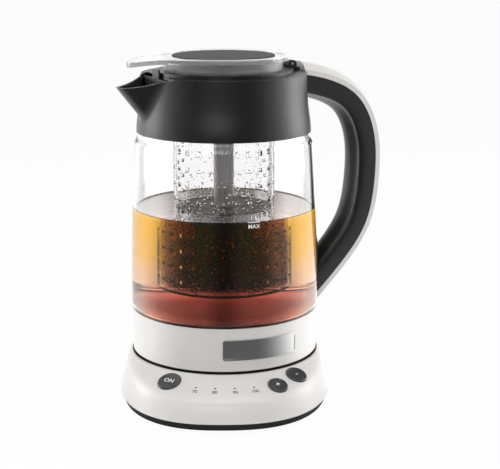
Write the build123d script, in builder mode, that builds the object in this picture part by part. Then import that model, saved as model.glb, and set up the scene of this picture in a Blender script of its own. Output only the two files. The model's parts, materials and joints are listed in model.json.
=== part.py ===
from build123d import *
import os
from math import acos, atan2, cos, pi, radians, sin, sqrt, tan

# Automatic tea maker: a glass jug with an infuser, standing on a low power base.
# Millimetres, +Z up. The origin is on the table under the jug's axis, and the control panel faces -Y.

# ---------------------------------------------------------------- driving dimensions
# How far the jug stands turned on its base: the handle points this far round from +X.
JUG_TURN = 23.3

# Power base
BASE_HALF_WIDTH = 77.4
BASE_FRONT = 100.0
BASE_BACK = 79.0
BASE_FRONT_POWER = 2.45
BASE_BACK_POWER = 2.1
BASE_HEIGHT = 31.5
BASE_WALL = 2.2
BASE_LEAN = 0.24
BASE_OPENING_GAP = 0.8
BASE_RIM = 2.7
PANEL_TILT = 23.0
CREASE_POWER = 24
TRAY_HEIGHT = 6.0
TRAY_INSET = 2.0
TRAY_DRAFT = 0.15
TRAY_WALL = 2.0
LIP_HEIGHT = 2.0
FOOT_HEIGHT = 1.0
FOOT_GROOVE = 1.0
FOOT_R = 62.5
FOOT_WIDTH = 5.0
DISH_DEPTH = 4.5
DISH_WALL = 1.8
DISH_BOSS_LENGTH = 10.0
BOSS_R = 4.0
BOSS_GAP = 1.0
COVER_BOSSES = [(-62, -50), (62, -42), (-52, 46), (52, 46)]
DISH_POSTS = [(-40, -22), (40, -22), (-32, 34), (32, 34)]
BOARD_POSTS = [(-46, -56), (-14, -84), (14, -84), (22, -56)]

# Screws
SCREW_R = 1.5
SCREW_HEAD_R = 2.8
SCREW_HEAD_T = 1.6
SCREW_REACH = 7.0
SLOT_WIDTH = 0.8

# Push buttons: distance from the jug axis, bearing, radius
START_BUTTON = (80.7, -118.9, 8.3)
TEMPERATURE_BUTTON = (84.4, -64.0, 7.0)
WARM_BUTTON = (78.9, -50.0, 7.6)
BUTTON_PROUD = 0.9
BUTTON_EDGE = 0.5
BUTTON_TRAVEL = 1.0
BUTTON_FLANGE = 0.7
BUTTON_FLANGE_T = 1.2
BUTTON_FLANGE_GAP = 1.3
BUTTON_STEM_R = 2.6
BUTTON_GAP = 0.3
STEM_GAP = 0.1
GUIDE_R = 6.1
GUIDE_WALL = 1.5
GUIDE_T = 2.4
LAMP_RING_R = 83.3
LAMP_PITCH = 9.35
LAMP_R = 0.6
LAMP_COUNT = 4
LED_SIZE = 2.4
LED_HEIGHT = 1.5
BOARD_T = 1.6
BOARD_Z = 9.0
BOARD_INSET = 9.0
BOARD_BACK = 47.0
BOARD_HALF_WIDTH = 55.0
SWITCH_SIZE = 6.0
SWITCH_HEIGHT = 5.0

# Round plug between the base and the jug
POST_R = 13.0
POST_HEIGHT = 13.0
POST_CHAMFER = 1.0
PIN_HOLE_R = 2.5
SLOT_INNER_R = 5.0
SLOT_OUTER_R = 9.0
SLOT_DEPTH = 10.0
CONTACT_SINK = 2.0
CONNECTOR_FLANGE_R = 22.0
CONNECTOR_FLANGE_T = 2.2
WIRE_GAP = 8.0
PLUG_GAP = 0.4
PLUG_HEADROOM = 1.0
SOCKET_WALL = 5.6
SOCKET_FLANGE_R = 24.0
SOCKET_FLANGE_T = 2.0
SOCKET_ROOF_T = 3.0
BLADE_OUTER_R = 7.6
BLADE_T = 1.2
BLADE_PIN_R = 1.5
RETAINER_R = 27.0
RETAINER_GAP = 0.8

# Bush for the mains lead
INLET_R = 5.8
INLET_FLANGE = 2.0
INLET_BORE_R = 3.75
INLET_LENGTH = 12.0
INLET_OUTSIDE_Y = 79.6

# Jug foot
RING_R = 68.3
RING_T = 0.8
RING_LIFT = 1.8
RING_HEIGHT = 31.3
COVER_WALL = 1.8
COVER_FLOOR_T = 2.0
COVER_HEIGHT = 13.0
STUD_R = 3.4
STUD_LENGTH = 18.6
POST_RING_R = 58.0
POST_STEPS = (60, 180, 300)
BADGE_WIDTH = 57.2
BADGE_HEIGHT = 14.6
BADGE_T = 0.7
BADGE_FRAME = 1.1
BADGE_FRAME_RISE = 0.35
BADGE_CORNER_R = 1.6
BADGE_TURN = -90.0
FLOOR_T = 1.0
FLOOR_HEM = 4.0
SPREADER_R = 52.0
SPREADER_T = 3.0
ELEMENT_RING_R = 40.0
ELEMENT_WIDTH = 8.0
ELEMENT_HEIGHT = 7.0
ELEMENT_CORNER_R = 2.5
ELEMENT_ARC = 310.0
TERMINAL_R = 2.0
TERMINAL_STEP = 4.0
THERMOSTAT_R = 15.0
THERMOSTAT_STEP = 2.0
THERMOSTAT_FLANGE_T = 2.0
THERMOSTAT_HEIGHT = 14.0
SENSOR_R = 3.0
SENSOR_RING_R = 25.0
SENSOR_HEIGHT = 8.0
SENSOR_TURN = 90.0

# Glass and its seals
GLASS_FOOT_R = 69.0
GLASS_MID_R = 67.9
GLASS_SHOULDER_R = 64.9
GLASS_NECK_R = 62.2
GLASS_BEAD_R = 62.0
GLASS_MOUTH_R = 59.8
GLASS_HEIGHT = 133.9
GLASS_WALL = 2.6
GLASS_LIP = 12.5
GLASS_LIP_ROUND = 0.8
GASKET_T = 1.0
SEAL_LIP_R = 64.2
SEAL_FLAP = 2.2
SEAL_LIP_HEIGHT = 2.0
SEAL_DEPTH = 4.0

# Collar and beak
COLLAR_FOOT_R = 63.3
COLLAR_MID_R = 61.2
COLLAR_MID_SHARE = 0.446
COLLAR_RIM_R = 60.0
COLLAR_HEIGHT = 41.7
COLLAR_LAP = 5.0
COLLAR_HEM_WALL = 1.0
COLLAR_LEDGE = 1.4
COLLAR_GASKET_T = 0.6
COLLAR_INSIDE_R = 58.2
COLLAR_SKIRT_R = 58.8
COLLAR_THROAT_R = 57.6
DECK_T = 2.4
BEAK_REACH = 94.9
BEAK_ROOT = 71.7
BEAK_HALF_WIDTH = 26.0
BEAK_COVER = 1.4
BEAK_SINK = 3.5
BEAK_DEPTH = 29.3
BEAK_WALL = 2.2
BEAK_KEEL_R = 9.0
BEAK_BLEND_R = 10.0
BEAK_DROP = 6.5
BEAK_TRIM_R = 50.0
BEAK_TRIM_MID_R = 62.0
BEAK_TRIM_MID = 4.4

# Filter plate that stands in the root of the beak
FILTER_X = 51.0
FILTER_T = 1.2
FILTER_TOP_HALF = 25.0
FILTER_FOOT_HALF = 4.0
FILTER_HEIGHT = 28.0
FILTER_SLOT = 1.6
FILTER_PITCH = 4.0
FILTER_TAB_HALF = 6.0
FILTER_TAB_RISE = 4.5
FILTER_RIM_DROP = 2.0
FILTER_SLOTS = 4
RAIL_DEPTH = 1.4
RAIL_REACH = 6.0

# Infuser
BASKET_R = 37.0
BASKET_WALL = 1.6
BASKET_BOTTOM_Z = 80.0
BASKET_FLANGE_T = 1.6
HOLE_R = 1.4
HOLE_PITCH = 11.5
HOLE_COUNT = 24
HOLE_TOP_Z = 181.0
HOLE_ROWS = 9
STEM_R = 7.4
STEM_WALL = 1.4
STEM_TOP_GAP = 1.9
STEM_SLOT_WIDTH = 5.0
STEM_SLOT_HEIGHT = 1.5
SEAT_OUTER_R = 50.0
SEAT_T = 2.3
SEAT_SKIRT_DEPTH = 4.0
SEAT_SKIRT_WALL = 1.9
SEAT_SKIRT_INSET = 4.1
SKIRT_R = 43.0
SKIRT_WALL = 2.4
SKIRT_HEIGHT = 7.4

# Lid over the infuser
COVER_R = 47.5
COVER_T = 2.6
COVER_RIM = 0.8
COVER_RIM_WIDTH = 3.0
TONGUE_REACH = 73.0
TONGUE_BEND_R = 44.0
TONGUE_DROP = 3.1
TONGUE_TIP_R = 9.0
INSERT_R = 37.0
INSERT_T = 1.7
INSERT_SINK = 1.2
PIN_R = 1.0
PIN_SEAT = 0.02
PIVOT_OUT = 2.2
KNUCKLE_R = 2.2
KNUCKLE_WIDTH = 5.0
KNUCKLE_GAP = 0.4
LUG_WIDTH = 12.5
LUG_LENGTH = 6.8
LUG_HEIGHT = 5.0
LUG_ROUND = 2.4
LUG_TAB_HALF = 7.5
LUG_TAB_REACH = 57.2

# Handle: the line between grip and strap, as distance from the jug axis and height
HANDLE_LINE = [
    (48.0, 234.6),
    (78.6, 228.9),
    (102.5, 215.8),
    (116.4, 190.5),
    (118.6, 152.8),
    (111.2, 117.8),
    (95.9, 95.0),
    (64.0, 62.0),
]
HANDLE_WIDTH = 28.0
GRIP_DEPTH = 16.5
GRIP_SIDE = 5.0
GRIP_WALL = 2.6
NOSE_WIDTH_SHARE = 0.73
NOSE_DEPTH_SHARE = 0.8
GRIP_BLEND_R = 2.0
STRAP_EDGE = 3.6
STRAP_CROWN = 5.4
STRAP_WALL = 1.8
FOOT_PLATE_T = 2.1
FOOT_PLATE_GAP = 0.7
FOOT_PLATE_BOTTOM_Z = 54.5
FOOT_PLATE_LENGTH = 57.5
FOOT_PLATE_CORNER_R = 6.0
FOOT_PAD_HEIGHT = 9.0
HANDLE_SCREW_SPREAD = 6.0
HANDLE_SCREW_RISE = 2.0

# Clearances
FIT = 0.2
LOOSE = 0.3
RUNNING = 0.05

OUTLINE_STEPS = 48
PANEL_LEVELS = 8
WALL_SHARE = 0.3

# ---------------------------------------------------------------- places worked out from them
SHANK_R = SCREW_R - FIT / 2
RIM_R = RING_R + BASE_RIM
OPENING_R = RING_R + BASE_OPENING_GAP
DISH_R = OPENING_R - LOOSE
DISH_INNER_R = DISH_R - DISH_WALL
DISH_FLOOR_Z = BASE_HEIGHT - DISH_DEPTH
DISH_UNDER_Z = DISH_FLOOR_Z - TRAY_WALL
DISH_RIM_Z = BASE_HEIGHT - LOOSE
DISH_BOSS_Z = DISH_UNDER_Z - DISH_BOSS_LENGTH
PANEL_SLOPE = tan(radians(PANEL_TILT))
TRAY_BOTTOM_Z = FOOT_HEIGHT
TRAY_FLOOR_Z = TRAY_BOTTOM_Z + TRAY_WALL
TRAY_HEAD_Z = TRAY_BOTTOM_Z + FIT
LIP_INSET = BASE_WALL + LIP_HEIGHT * BASE_LEAN + LOOSE
BOSS_FOOT_Z = TRAY_HEIGHT + BOSS_GAP
BOARD_TOP_Z = BOARD_Z + BOARD_T
BUTTONS = {
    "start_button": START_BUTTON,
    "temperature_button": TEMPERATURE_BUTTON,
    "warm_button": WARM_BUTTON,
}
FLANGE_SINK = BASE_WALL + BUTTON_FLANGE_GAP
GUIDE_SINK = FLANGE_SINK + BUTTON_FLANGE_T + BUTTON_TRAVEL + LOOSE
LAMPS = [-90 + (i - (LAMP_COUNT - 1) / 2) * LAMP_PITCH for i in range(LAMP_COUNT)]
INLET_Z = TRAY_HEIGHT + LIP_HEIGHT + INLET_R + INLET_FLANGE + FIT
INLET_INSIDE_Y = INLET_OUTSIDE_Y - INLET_LENGTH

POST_TOP_Z = DISH_FLOOR_Z + POST_HEIGHT
SLOT_FLOOR_Z = POST_TOP_Z - SLOT_DEPTH
CONNECTOR_BOTTOM_Z = DISH_UNDER_Z - CONNECTOR_FLANGE_T
SOCKET_R = POST_R + PLUG_GAP + SOCKET_WALL
SOCKET_BOTTOM_Z = DISH_FLOOR_Z + LOOSE
SOCKET_ROOF_Z = POST_TOP_Z + PLUG_HEADROOM
BLADE_TIP_Z = SLOT_FLOOR_Z + PLUG_HEADROOM
BOTTOM_FLOOR_Z = DISH_FLOOR_Z + COVER_FLOOR_T
SOCKET_FLANGE_Z = BOTTOM_FLOOR_Z + LOOSE
RETAINER_Z = SOCKET_FLANGE_Z + SOCKET_FLANGE_T + LOOSE

RING_BOTTOM_Z = BASE_HEIGHT + RING_LIFT
RING_TOP_Z = RING_BOTTOM_Z + RING_HEIGHT
BOTTOM_R = DISH_INNER_R - 2 * LOOSE
BOTTOM_UPPER_R = RING_R - RING_T - FIT
BOTTOM_TOP_Z = DISH_FLOOR_Z + COVER_HEIGHT
FLOOR_UNDER_Z = RING_TOP_Z - FLOOR_T
SPREADER_UNDER_Z = FLOOR_UNDER_Z - SPREADER_T
STUD_Z = FLOOR_UNDER_Z - STUD_LENGTH
JUG_HEAD_Z = DISH_FLOOR_Z + FIT
BADGE_BEARING = JUG_TURN + BADGE_TURN
BADGE_Z = (RING_BOTTOM_Z + RING_TOP_Z) / 2
ELEMENT_START = JUG_TURN + (360 - ELEMENT_ARC) / 2
THERMOSTAT_Z = SPREADER_UNDER_Z - THERMOSTAT_HEIGHT

GLASS_BOTTOM_Z = RING_TOP_Z + GASKET_T
GLASS_TOP_Z = GLASS_BOTTOM_Z + GLASS_HEIGHT
GLASS_SHOULDER_Z = GLASS_TOP_Z - GLASS_LIP
GLASS_SEAT_Z = GLASS_TOP_Z + COLLAR_GASKET_T
COLLAR_BOTTOM_Z = GLASS_TOP_Z - COLLAR_LAP
DECK_Z = COLLAR_BOTTOM_Z + COLLAR_HEIGHT
BEAK_HEEL = sqrt(COLLAR_RIM_R**2 - BEAK_HALF_WIDTH**2) - BEAK_COVER
BEAK_LENGTH = BEAK_REACH - BEAK_HEEL
DECK_UNDER_Z = DECK_Z - DECK_T

SEAT_TOP_Z = DECK_Z + SEAT_T
SKIRT_TOP_Z = SEAT_TOP_Z + SKIRT_HEIGHT
BASKET_FLANGE_R = SKIRT_R - SKIRT_WALL - LOOSE
SEAT_SKIRT_R = SEAT_OUTER_R - SEAT_SKIRT_INSET
DECK_HOLE_R = SEAT_SKIRT_R + LOOSE
PIVOT_R = SEAT_OUTER_R + PIVOT_OUT
PIVOT_Z = SEAT_TOP_Z + KNUCKLE_GAP + KNUCKLE_R
COVER_TOP_Z = SKIRT_TOP_Z + COVER_T
EAR_LEAN = atan2(PIVOT_R - COVER_R, COVER_TOP_Z - PIVOT_Z)
STEM_TOP_Z = SKIRT_TOP_Z - STEM_TOP_GAP

FOOT_PLATE_R = GLASS_FOOT_R + FOOT_PLATE_GAP
FOOT_PLATE_OUTER_R = FOOT_PLATE_R + FOOT_PLATE_T
HANDLE_HALF = HANDLE_WIDTH / 2
HANDLE_SCREW_Z = FOOT_PLATE_BOTTOM_Z + HANDLE_SCREW_RISE


def bearing_plane(bearing):
    """The upright plane through the jug axis: x outwards at this bearing, y up."""
    a = radians(bearing)
    return Plane(origin=(0, 0, 0), x_dir=(cos(a), sin(a), 0), z_dir=(sin(a), -cos(a), 0))


def level(z, bearing=0.0):
    """A level plane at height z whose x points at the bearing."""
    a = radians(bearing)
    return Plane(origin=(0, 0, z), x_dir=(cos(a), sin(a), 0), z_dir=(0, 0, 1))


HANDLE_PLANE = bearing_plane(JUG_TURN)
SPOUT_PLANE = bearing_plane(JUG_TURN + 180)
HANDLE_NORMAL = Vector(-sin(radians(JUG_TURN)), cos(radians(JUG_TURN)), 0)


def save(builder, name):
    """Label the finished piece and write it."""
    builder.part.label = name
    export_step(builder.part, f"parts/{name}.step")


os.makedirs("parts", exist_ok=True)


# ---------------------------------------------------------------- power base
def plan_face(z, outline):
    """A level face at height z inside a closed smooth outline."""
    with BuildSketch(Plane.XY.offset(z)) as plan:
        with BuildLine():
            Spline(*outline, periodic=True)
        make_face()
    return plan.sketch.face()


def base_outline(z, inset):
    """Plan of the base at height z: a superellipse whose top runs into the cone of the panel."""
    lean_in = inset + (z - TRAY_HEIGHT) * BASE_LEAN
    cone_r = RIM_R + (BASE_HEIGHT - z) / PANEL_SLOPE - inset / sin(radians(PANEL_TILT))
    points = []
    for i in range(OUTLINE_STEPS):
        a = 2 * pi * i / OUTLINE_STEPS
        front = sin(a) < 0
        power = BASE_FRONT_POWER if front else BASE_BACK_POWER
        depth = (BASE_FRONT if front else BASE_BACK) - lean_in
        width = BASE_HALF_WIDTH - lean_in
        wall_r = (abs(cos(a) / width) ** power + abs(sin(a) / depth) ** power) ** (-1 / power)
        # The two radii are blended, which rounds the crease where wall and cone meet.
        r = (wall_r**-CREASE_POWER + cone_r**-CREASE_POWER) ** (-1 / CREASE_POWER)
        points.append((r * cos(a), r * sin(a)))
    return points


def base_block(inset, z_low):
    """The base's outer form drawn in by inset, from z_low up to its roof."""
    z_high = BASE_HEIGHT - inset
    z_turn = z_low + (z_high - z_low) * WALL_SHARE
    heights = [z_low, (z_low + z_turn) / 2]
    heights += [z_turn + (z_high - z_turn) * i / PANEL_LEVELS for i in range(PANEL_LEVELS + 1)]
    with BuildPart() as block:
        loft(sections=[plan_face(z, base_outline(z, inset)) for z in heights])
    return block.part


def tray_face(z, inset):
    """A level face with the plan that the base has at the top of its tray."""
    return plan_face(z, base_outline(TRAY_HEIGHT, inset))


def panel_plane(ring_r, bearing, sink=0.0):
    """A plane on the sloping panel, facing out of it, sunk below its surface."""
    a = radians(bearing)
    tilt = radians(PANEL_TILT)
    out = Vector(cos(a) * sin(tilt), sin(a) * sin(tilt), cos(tilt))
    origin = Vector(ring_r * cos(a), ring_r * sin(a), panel_z(ring_r)) - out * sink
    return Plane(origin=origin, x_dir=(-sin(a), cos(a), 0), z_dir=out)


def panel_z(ring_r):
    """Height of the panel at this distance from the jug's axis."""
    return BASE_HEIGHT - (ring_r - RIM_R) * PANEL_SLOPE


def board_reach(ring_r):
    """Distance from the panel down to the control board, square to the panel."""
    return (panel_z(ring_r) - BOARD_TOP_Z) / cos(radians(PANEL_TILT))


def ring(points):
    """A solid of revolution about the jug's axis, from its section as (radius, height) points."""
    with BuildPart() as turned:
        with BuildSketch(Plane.XZ):
            Polygon(*points, align=None)
        revolve(axis=Axis.Z)
    return turned.part


def tube(outer_r, inner_r, z_low, z_high):
    """A round tube about the jug's axis."""
    return ring([(inner_r, z_low), (outer_r, z_low), (outer_r, z_high), (inner_r, z_high)])


def pegs(places, radius, z_low, z_high):
    """Upright round pegs, one at each place."""
    with BuildPart() as group:
        with BuildSketch(Plane.XY.offset(z_low)):
            with Locations(*places):
                Circle(radius)
        extrude(amount=z_high - z_low)
    return group.part


def screws(places, head_z, tip_z):
    """Upright screws, heads down, each with a crossed slot."""
    with BuildPart() as group:
        add(pegs(places, SCREW_HEAD_R, head_z, head_z + SCREW_HEAD_T))
        add(pegs(places, SHANK_R, head_z + SCREW_HEAD_T, tip_z))
        with BuildSketch(Plane.XY.offset(head_z)):
            with Locations(*places):
                Rectangle(2 * SHANK_R, SLOT_WIDTH)
                Rectangle(SLOT_WIDTH, 2 * SHANK_R)
        extrude(amount=SCREW_HEAD_T / 2, mode=Mode.SUBTRACT)
    return group.part


def ring_places(radius, bearings):
    """Points on a circle about the jug's axis."""
    return [(radius * cos(radians(b)), radius * sin(radians(b))) for b in bearings]


JUG_POSTS = ring_places(POST_RING_R, [JUG_TURN + step for step in POST_STEPS])

cover_outer = base_block(0.0, TRAY_HEIGHT)
cover_inner = base_block(BASE_WALL, TRAY_HEIGHT - TRAY_INSET)
boss_room = base_block(BASE_WALL / 2, TRAY_HEIGHT - TRAY_INSET)

with BuildPart() as boss_group:
    add(pegs(COVER_BOSSES, BOSS_R, BOSS_FOOT_Z, BASE_HEIGHT))
    add(boss_room, mode=Mode.INTERSECT)

with BuildPart() as base_cover:
    add(cover_outer)
    add(cover_inner, mode=Mode.SUBTRACT)
    add(boss_group.part)
    add(pegs([(0, 0)], OPENING_R, 0, BASE_HEIGHT + BASE_WALL), mode=Mode.SUBTRACT)
    for ring_r, bearing, button_r in BUTTONS.values():
        with BuildSketch(panel_plane(ring_r, bearing)):
            Circle(button_r + BUTTON_GAP)
        extrude(amount=2 * BASE_WALL, both=True, mode=Mode.SUBTRACT)
    for bearing in LAMPS:
        with BuildSketch(panel_plane(LAMP_RING_R, bearing)):
            Circle(LAMP_R + RUNNING)
        extrude(amount=2 * BASE_WALL, both=True, mode=Mode.SUBTRACT)
    add(pegs(COVER_BOSSES, SCREW_R, 0, BOSS_FOOT_Z + SCREW_REACH + FIT), mode=Mode.SUBTRACT)
    with BuildSketch(Plane.XZ.offset(-INLET_INSIDE_Y)):
        with Locations((0, INLET_Z)):
            Circle(INLET_R + FIT)
    extrude(amount=-2 * INLET_LENGTH, mode=Mode.SUBTRACT)
save(base_cover, "base_cover")

with BuildPart() as base_tray:
    loft(sections=[tray_face(TRAY_BOTTOM_Z, TRAY_INSET + TRAY_DRAFT), tray_face(TRAY_HEIGHT, TRAY_INSET)])
    extrude(tray_face(TRAY_HEIGHT, LIP_INSET), amount=LIP_HEIGHT)
    add(pegs(COVER_BOSSES, BOSS_R + LOOSE, BOSS_FOOT_Z, BASE_HEIGHT), mode=Mode.SUBTRACT)
    extrude(tray_face(TRAY_FLOOR_Z, TRAY_INSET + TRAY_WALL), amount=BASE_HEIGHT, mode=Mode.SUBTRACT)
    add(pegs(COVER_BOSSES, BOSS_R, TRAY_FLOOR_Z, BOSS_FOOT_Z))
    add(pegs(DISH_POSTS, BOSS_R, TRAY_FLOOR_Z, DISH_BOSS_Z))
    add(pegs(BOARD_POSTS, BOSS_R, TRAY_FLOOR_Z, BOARD_Z))
    add(tube(CONNECTOR_FLANGE_R, CONNECTOR_FLANGE_R - TRAY_WALL, TRAY_FLOOR_Z, CONNECTOR_BOTTOM_Z))
    with BuildSketch(Plane.XY.offset(TRAY_FLOOR_Z)):
        with Locations((0, CONNECTOR_FLANGE_R)):
            Rectangle(WIRE_GAP, 3 * TRAY_WALL)
    extrude(amount=BASE_HEIGHT, mode=Mode.SUBTRACT)
    tray_screws = COVER_BOSSES + DISH_POSTS
    add(pegs(tray_screws, SCREW_R, 0, DISH_BOSS_Z), mode=Mode.SUBTRACT)
    add(pegs(tray_screws, SCREW_HEAD_R + FIT, 0, TRAY_HEAD_Z + SCREW_HEAD_T), mode=Mode.SUBTRACT)
    add(pegs(BOARD_POSTS, SCREW_R, TRAY_FLOOR_Z, BOARD_Z), mode=Mode.SUBTRACT)
    groove_in, groove_out = FOOT_R - FOOT_WIDTH - FIT, FOOT_R + FIT
    add(tube(groove_out, groove_in, 0, TRAY_BOTTOM_Z + FOOT_GROOVE), mode=Mode.SUBTRACT)
save(base_tray, "base_tray")

with BuildPart() as foot_ring:
    add(tube(FOOT_R, FOOT_R - FOOT_WIDTH, 0, TRAY_BOTTOM_Z + FOOT_GROOVE))
save(foot_ring, "foot_ring")

with BuildPart() as cover_screws:
    add(screws(COVER_BOSSES, TRAY_HEAD_Z, BOSS_FOOT_Z + SCREW_REACH))
save(cover_screws, "cover_screws")

with BuildPart() as dish_screws:
    add(screws(DISH_POSTS, TRAY_HEAD_Z, DISH_BOSS_Z + SCREW_REACH))
save(dish_screws, "dish_screws")

with BuildPart() as jug_dish:
    add(tube(DISH_R, POST_R + FIT, DISH_UNDER_Z, DISH_RIM_Z))
    add(pegs([(0, 0)], DISH_INNER_R, DISH_FLOOR_Z, BASE_HEIGHT), mode=Mode.SUBTRACT)
    add(pegs(DISH_POSTS, BOSS_R, DISH_BOSS_Z, DISH_UNDER_Z))
    add(pegs(DISH_POSTS, SCREW_R, DISH_BOSS_Z, DISH_UNDER_Z), mode=Mode.SUBTRACT)
save(jug_dish, "jug_dish")

with BuildPart() as base_connector:
    add(tube(CONNECTOR_FLANGE_R, PIN_HOLE_R, CONNECTOR_BOTTOM_Z, DISH_UNDER_Z))
    add(tube(POST_R, PIN_HOLE_R, DISH_UNDER_Z, POST_TOP_Z))
    top_edges = base_connector.edges().filter_by(GeomType.CIRCLE).group_by(Axis.Z)[-1]
    chamfer(top_edges.sort_by(SortBy.RADIUS)[-1], POST_CHAMFER)
    add(tube(SLOT_OUTER_R, SLOT_INNER_R, SLOT_FLOOR_Z, POST_TOP_Z), mode=Mode.SUBTRACT)
save(base_connector, "base_connector")

with BuildPart() as connector_contacts:
    add(tube(SLOT_OUTER_R - FIT, BLADE_OUTER_R + LOOSE, SLOT_FLOOR_Z, POST_TOP_Z - CONTACT_SINK))
    add(tube(PIN_HOLE_R - RUNNING, BLADE_PIN_R + LOOSE, CONNECTOR_BOTTOM_Z, POST_TOP_Z - CONTACT_SINK))
save(connector_contacts, "connector_contacts")

with BuildPart() as control_board:
    extrude(tray_face(BOARD_Z, BOARD_INSET), amount=BOARD_T)
    with BuildSketch(Plane.XY.offset(BOARD_Z)):
        with Locations((0, -BOARD_BACK)):
            Rectangle(2 * BOARD_HALF_WIDTH, BASE_FRONT, align=(Align.CENTER, Align.MAX))
    extrude(amount=BOARD_T, mode=Mode.INTERSECT)
    add(pegs(BOARD_POSTS, SCREW_R + FIT, BOARD_Z, BOARD_TOP_Z), mode=Mode.SUBTRACT)
save(control_board, "control_board")

with BuildPart() as board_screws:
    add(pegs(BOARD_POSTS, SHANK_R, BOARD_TOP_Z - SCREW_REACH / 2, BOARD_TOP_Z))
    add(pegs(BOARD_POSTS, SCREW_HEAD_R, BOARD_TOP_Z, BOARD_TOP_Z + SCREW_HEAD_T))
save(board_screws, "board_screws")

with BuildPart() as tactile_switches:
    for ring_r, bearing, button_r in BUTTONS.values():
        with BuildSketch(panel_plane(ring_r, bearing, board_reach(ring_r) - SWITCH_HEIGHT)):
            Rectangle(SWITCH_SIZE, SWITCH_SIZE)
        extrude(amount=-2 * SWITCH_HEIGHT)
    split(bisect_by=Plane.XY.offset(BOARD_TOP_Z), keep=Keep.TOP)
save(tactile_switches, "tactile_switches")

with BuildPart() as button_guides:
    for ring_r, bearing, button_r in BUTTONS.values():
        guide_length = board_reach(ring_r) - GUIDE_SINK
        with BuildSketch(panel_plane(ring_r, bearing, GUIDE_SINK)):
            Circle(GUIDE_R)
        extrude(amount=-guide_length - GUIDE_R)
        with BuildSketch(panel_plane(ring_r, bearing, GUIDE_SINK + GUIDE_T)):
            Circle(GUIDE_R - GUIDE_WALL)
        extrude(amount=-guide_length - GUIDE_R, mode=Mode.SUBTRACT)
        with BuildSketch(panel_plane(ring_r, bearing, GUIDE_SINK)):
            Circle(BUTTON_STEM_R + RUNNING)
        extrude(amount=-GUIDE_T, mode=Mode.SUBTRACT)
    split(bisect_by=Plane.XY.offset(BOARD_TOP_Z), keep=Keep.TOP)
save(button_guides, "button_guides")


def push_button(ring_r, bearing, button_r):
    """A push button with its retaining flange and the stem that works its switch."""
    stem_sink = board_reach(ring_r) - SWITCH_HEIGHT - BUTTON_TRAVEL - STEM_GAP
    with BuildPart() as button:
        with BuildSketch(panel_plane(ring_r, bearing, -BUTTON_PROUD)):
            Circle(button_r)
        extrude(amount=-BUTTON_PROUD - FLANGE_SINK)
        fillet(button.faces().sort_by(panel_axis(ring_r, bearing))[-1].edges(), BUTTON_EDGE)
        with BuildSketch(panel_plane(ring_r, bearing, FLANGE_SINK)):
            Circle(button_r + BUTTON_FLANGE)
        extrude(amount=-BUTTON_FLANGE_T)
        with BuildSketch(panel_plane(ring_r, bearing, FLANGE_SINK)):
            Circle(BUTTON_STEM_R)
        extrude(amount=FLANGE_SINK - stem_sink)
    return button.part


def panel_axis(ring_r, bearing):
    """The axis square to the panel at a button."""
    plane = panel_plane(ring_r, bearing)
    return Axis(plane.origin, plane.z_dir)


with BuildPart() as start_button:
    add(push_button(*START_BUTTON))
save(start_button, "start_button")

with BuildPart() as temperature_button:
    add(push_button(*TEMPERATURE_BUTTON))
save(temperature_button, "temperature_button")

with BuildPart() as warm_button:
    add(push_button(*WARM_BUTTON))
save(warm_button, "warm_button")

with BuildPart() as indicator_leds:
    for bearing in LAMPS:
        with BuildSketch(panel_plane(LAMP_RING_R, bearing, board_reach(LAMP_RING_R) - LED_HEIGHT)):
            Rectangle(LED_SIZE, LED_SIZE)
        extrude(amount=-2 * LED_HEIGHT)
    split(bisect_by=Plane.XY.offset(BOARD_TOP_Z), keep=Keep.TOP)
save(indicator_leds, "indicator_leds")

with BuildPart() as light_pipes:
    for bearing in LAMPS:
        with BuildSketch(panel_plane(LAMP_RING_R, bearing)):
            Circle(LAMP_R)
        extrude(amount=LED_HEIGHT - board_reach(LAMP_RING_R))
save(light_pipes, "light_pipes")

with BuildPart() as inlet_outside:
    with BuildSketch(Plane.XZ.offset(-INLET_OUTSIDE_Y)):
        with Locations((0, INLET_Z)):
            Circle(INLET_R + INLET_FLANGE)
    extrude(amount=INLET_LENGTH / 3)
    add(cover_outer, mode=Mode.SUBTRACT)

with BuildPart() as inlet_inside:
    with BuildSketch(Plane.XZ.offset(-INLET_INSIDE_Y - INLET_LENGTH / 3)):
        with Locations((0, INLET_Z)):
            Circle(INLET_R + INLET_FLANGE)
    extrude(amount=-INLET_LENGTH / 3)
    add(cover_inner, mode=Mode.INTERSECT)

with BuildPart() as cord_inlet:
    with BuildSketch(Plane.XZ.offset(-INLET_OUTSIDE_Y)):
        with Locations((0, INLET_Z)):
            Circle(INLET_R)
    extrude(amount=INLET_LENGTH)
    add(inlet_outside.part)
    add(inlet_inside.part)
    with BuildSketch(Plane.XZ.offset(-INLET_OUTSIDE_Y)):
        with Locations((0, INLET_Z)):
            Circle(INLET_BORE_R)
    extrude(amount=INLET_LENGTH, mode=Mode.SUBTRACT)
save(cord_inlet, "cord_inlet")

# ---------------------------------------------------------------- jug half of the round plug
with BuildPart() as socket:
    add(tube(SOCKET_R, POST_R + PLUG_GAP, SOCKET_BOTTOM_Z, SOCKET_ROOF_Z))
    add(pegs([(0, 0)], SOCKET_R, SOCKET_ROOF_Z, SOCKET_ROOF_Z + SOCKET_ROOF_T))
    flange_top_z = SOCKET_FLANGE_Z + SOCKET_FLANGE_T
    add(tube(SOCKET_FLANGE_R, SOCKET_R - SOCKET_WALL / 2, SOCKET_FLANGE_Z, flange_top_z))
save(socket, "socket")

with BuildPart() as socket_blades:
    add(tube(BLADE_OUTER_R, BLADE_OUTER_R - BLADE_T, BLADE_TIP_Z, SOCKET_ROOF_Z))
    add(pegs([(0, 0)], BLADE_PIN_R, BLADE_TIP_Z, SOCKET_ROOF_Z))
save(socket_blades, "socket_blades")

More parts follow.
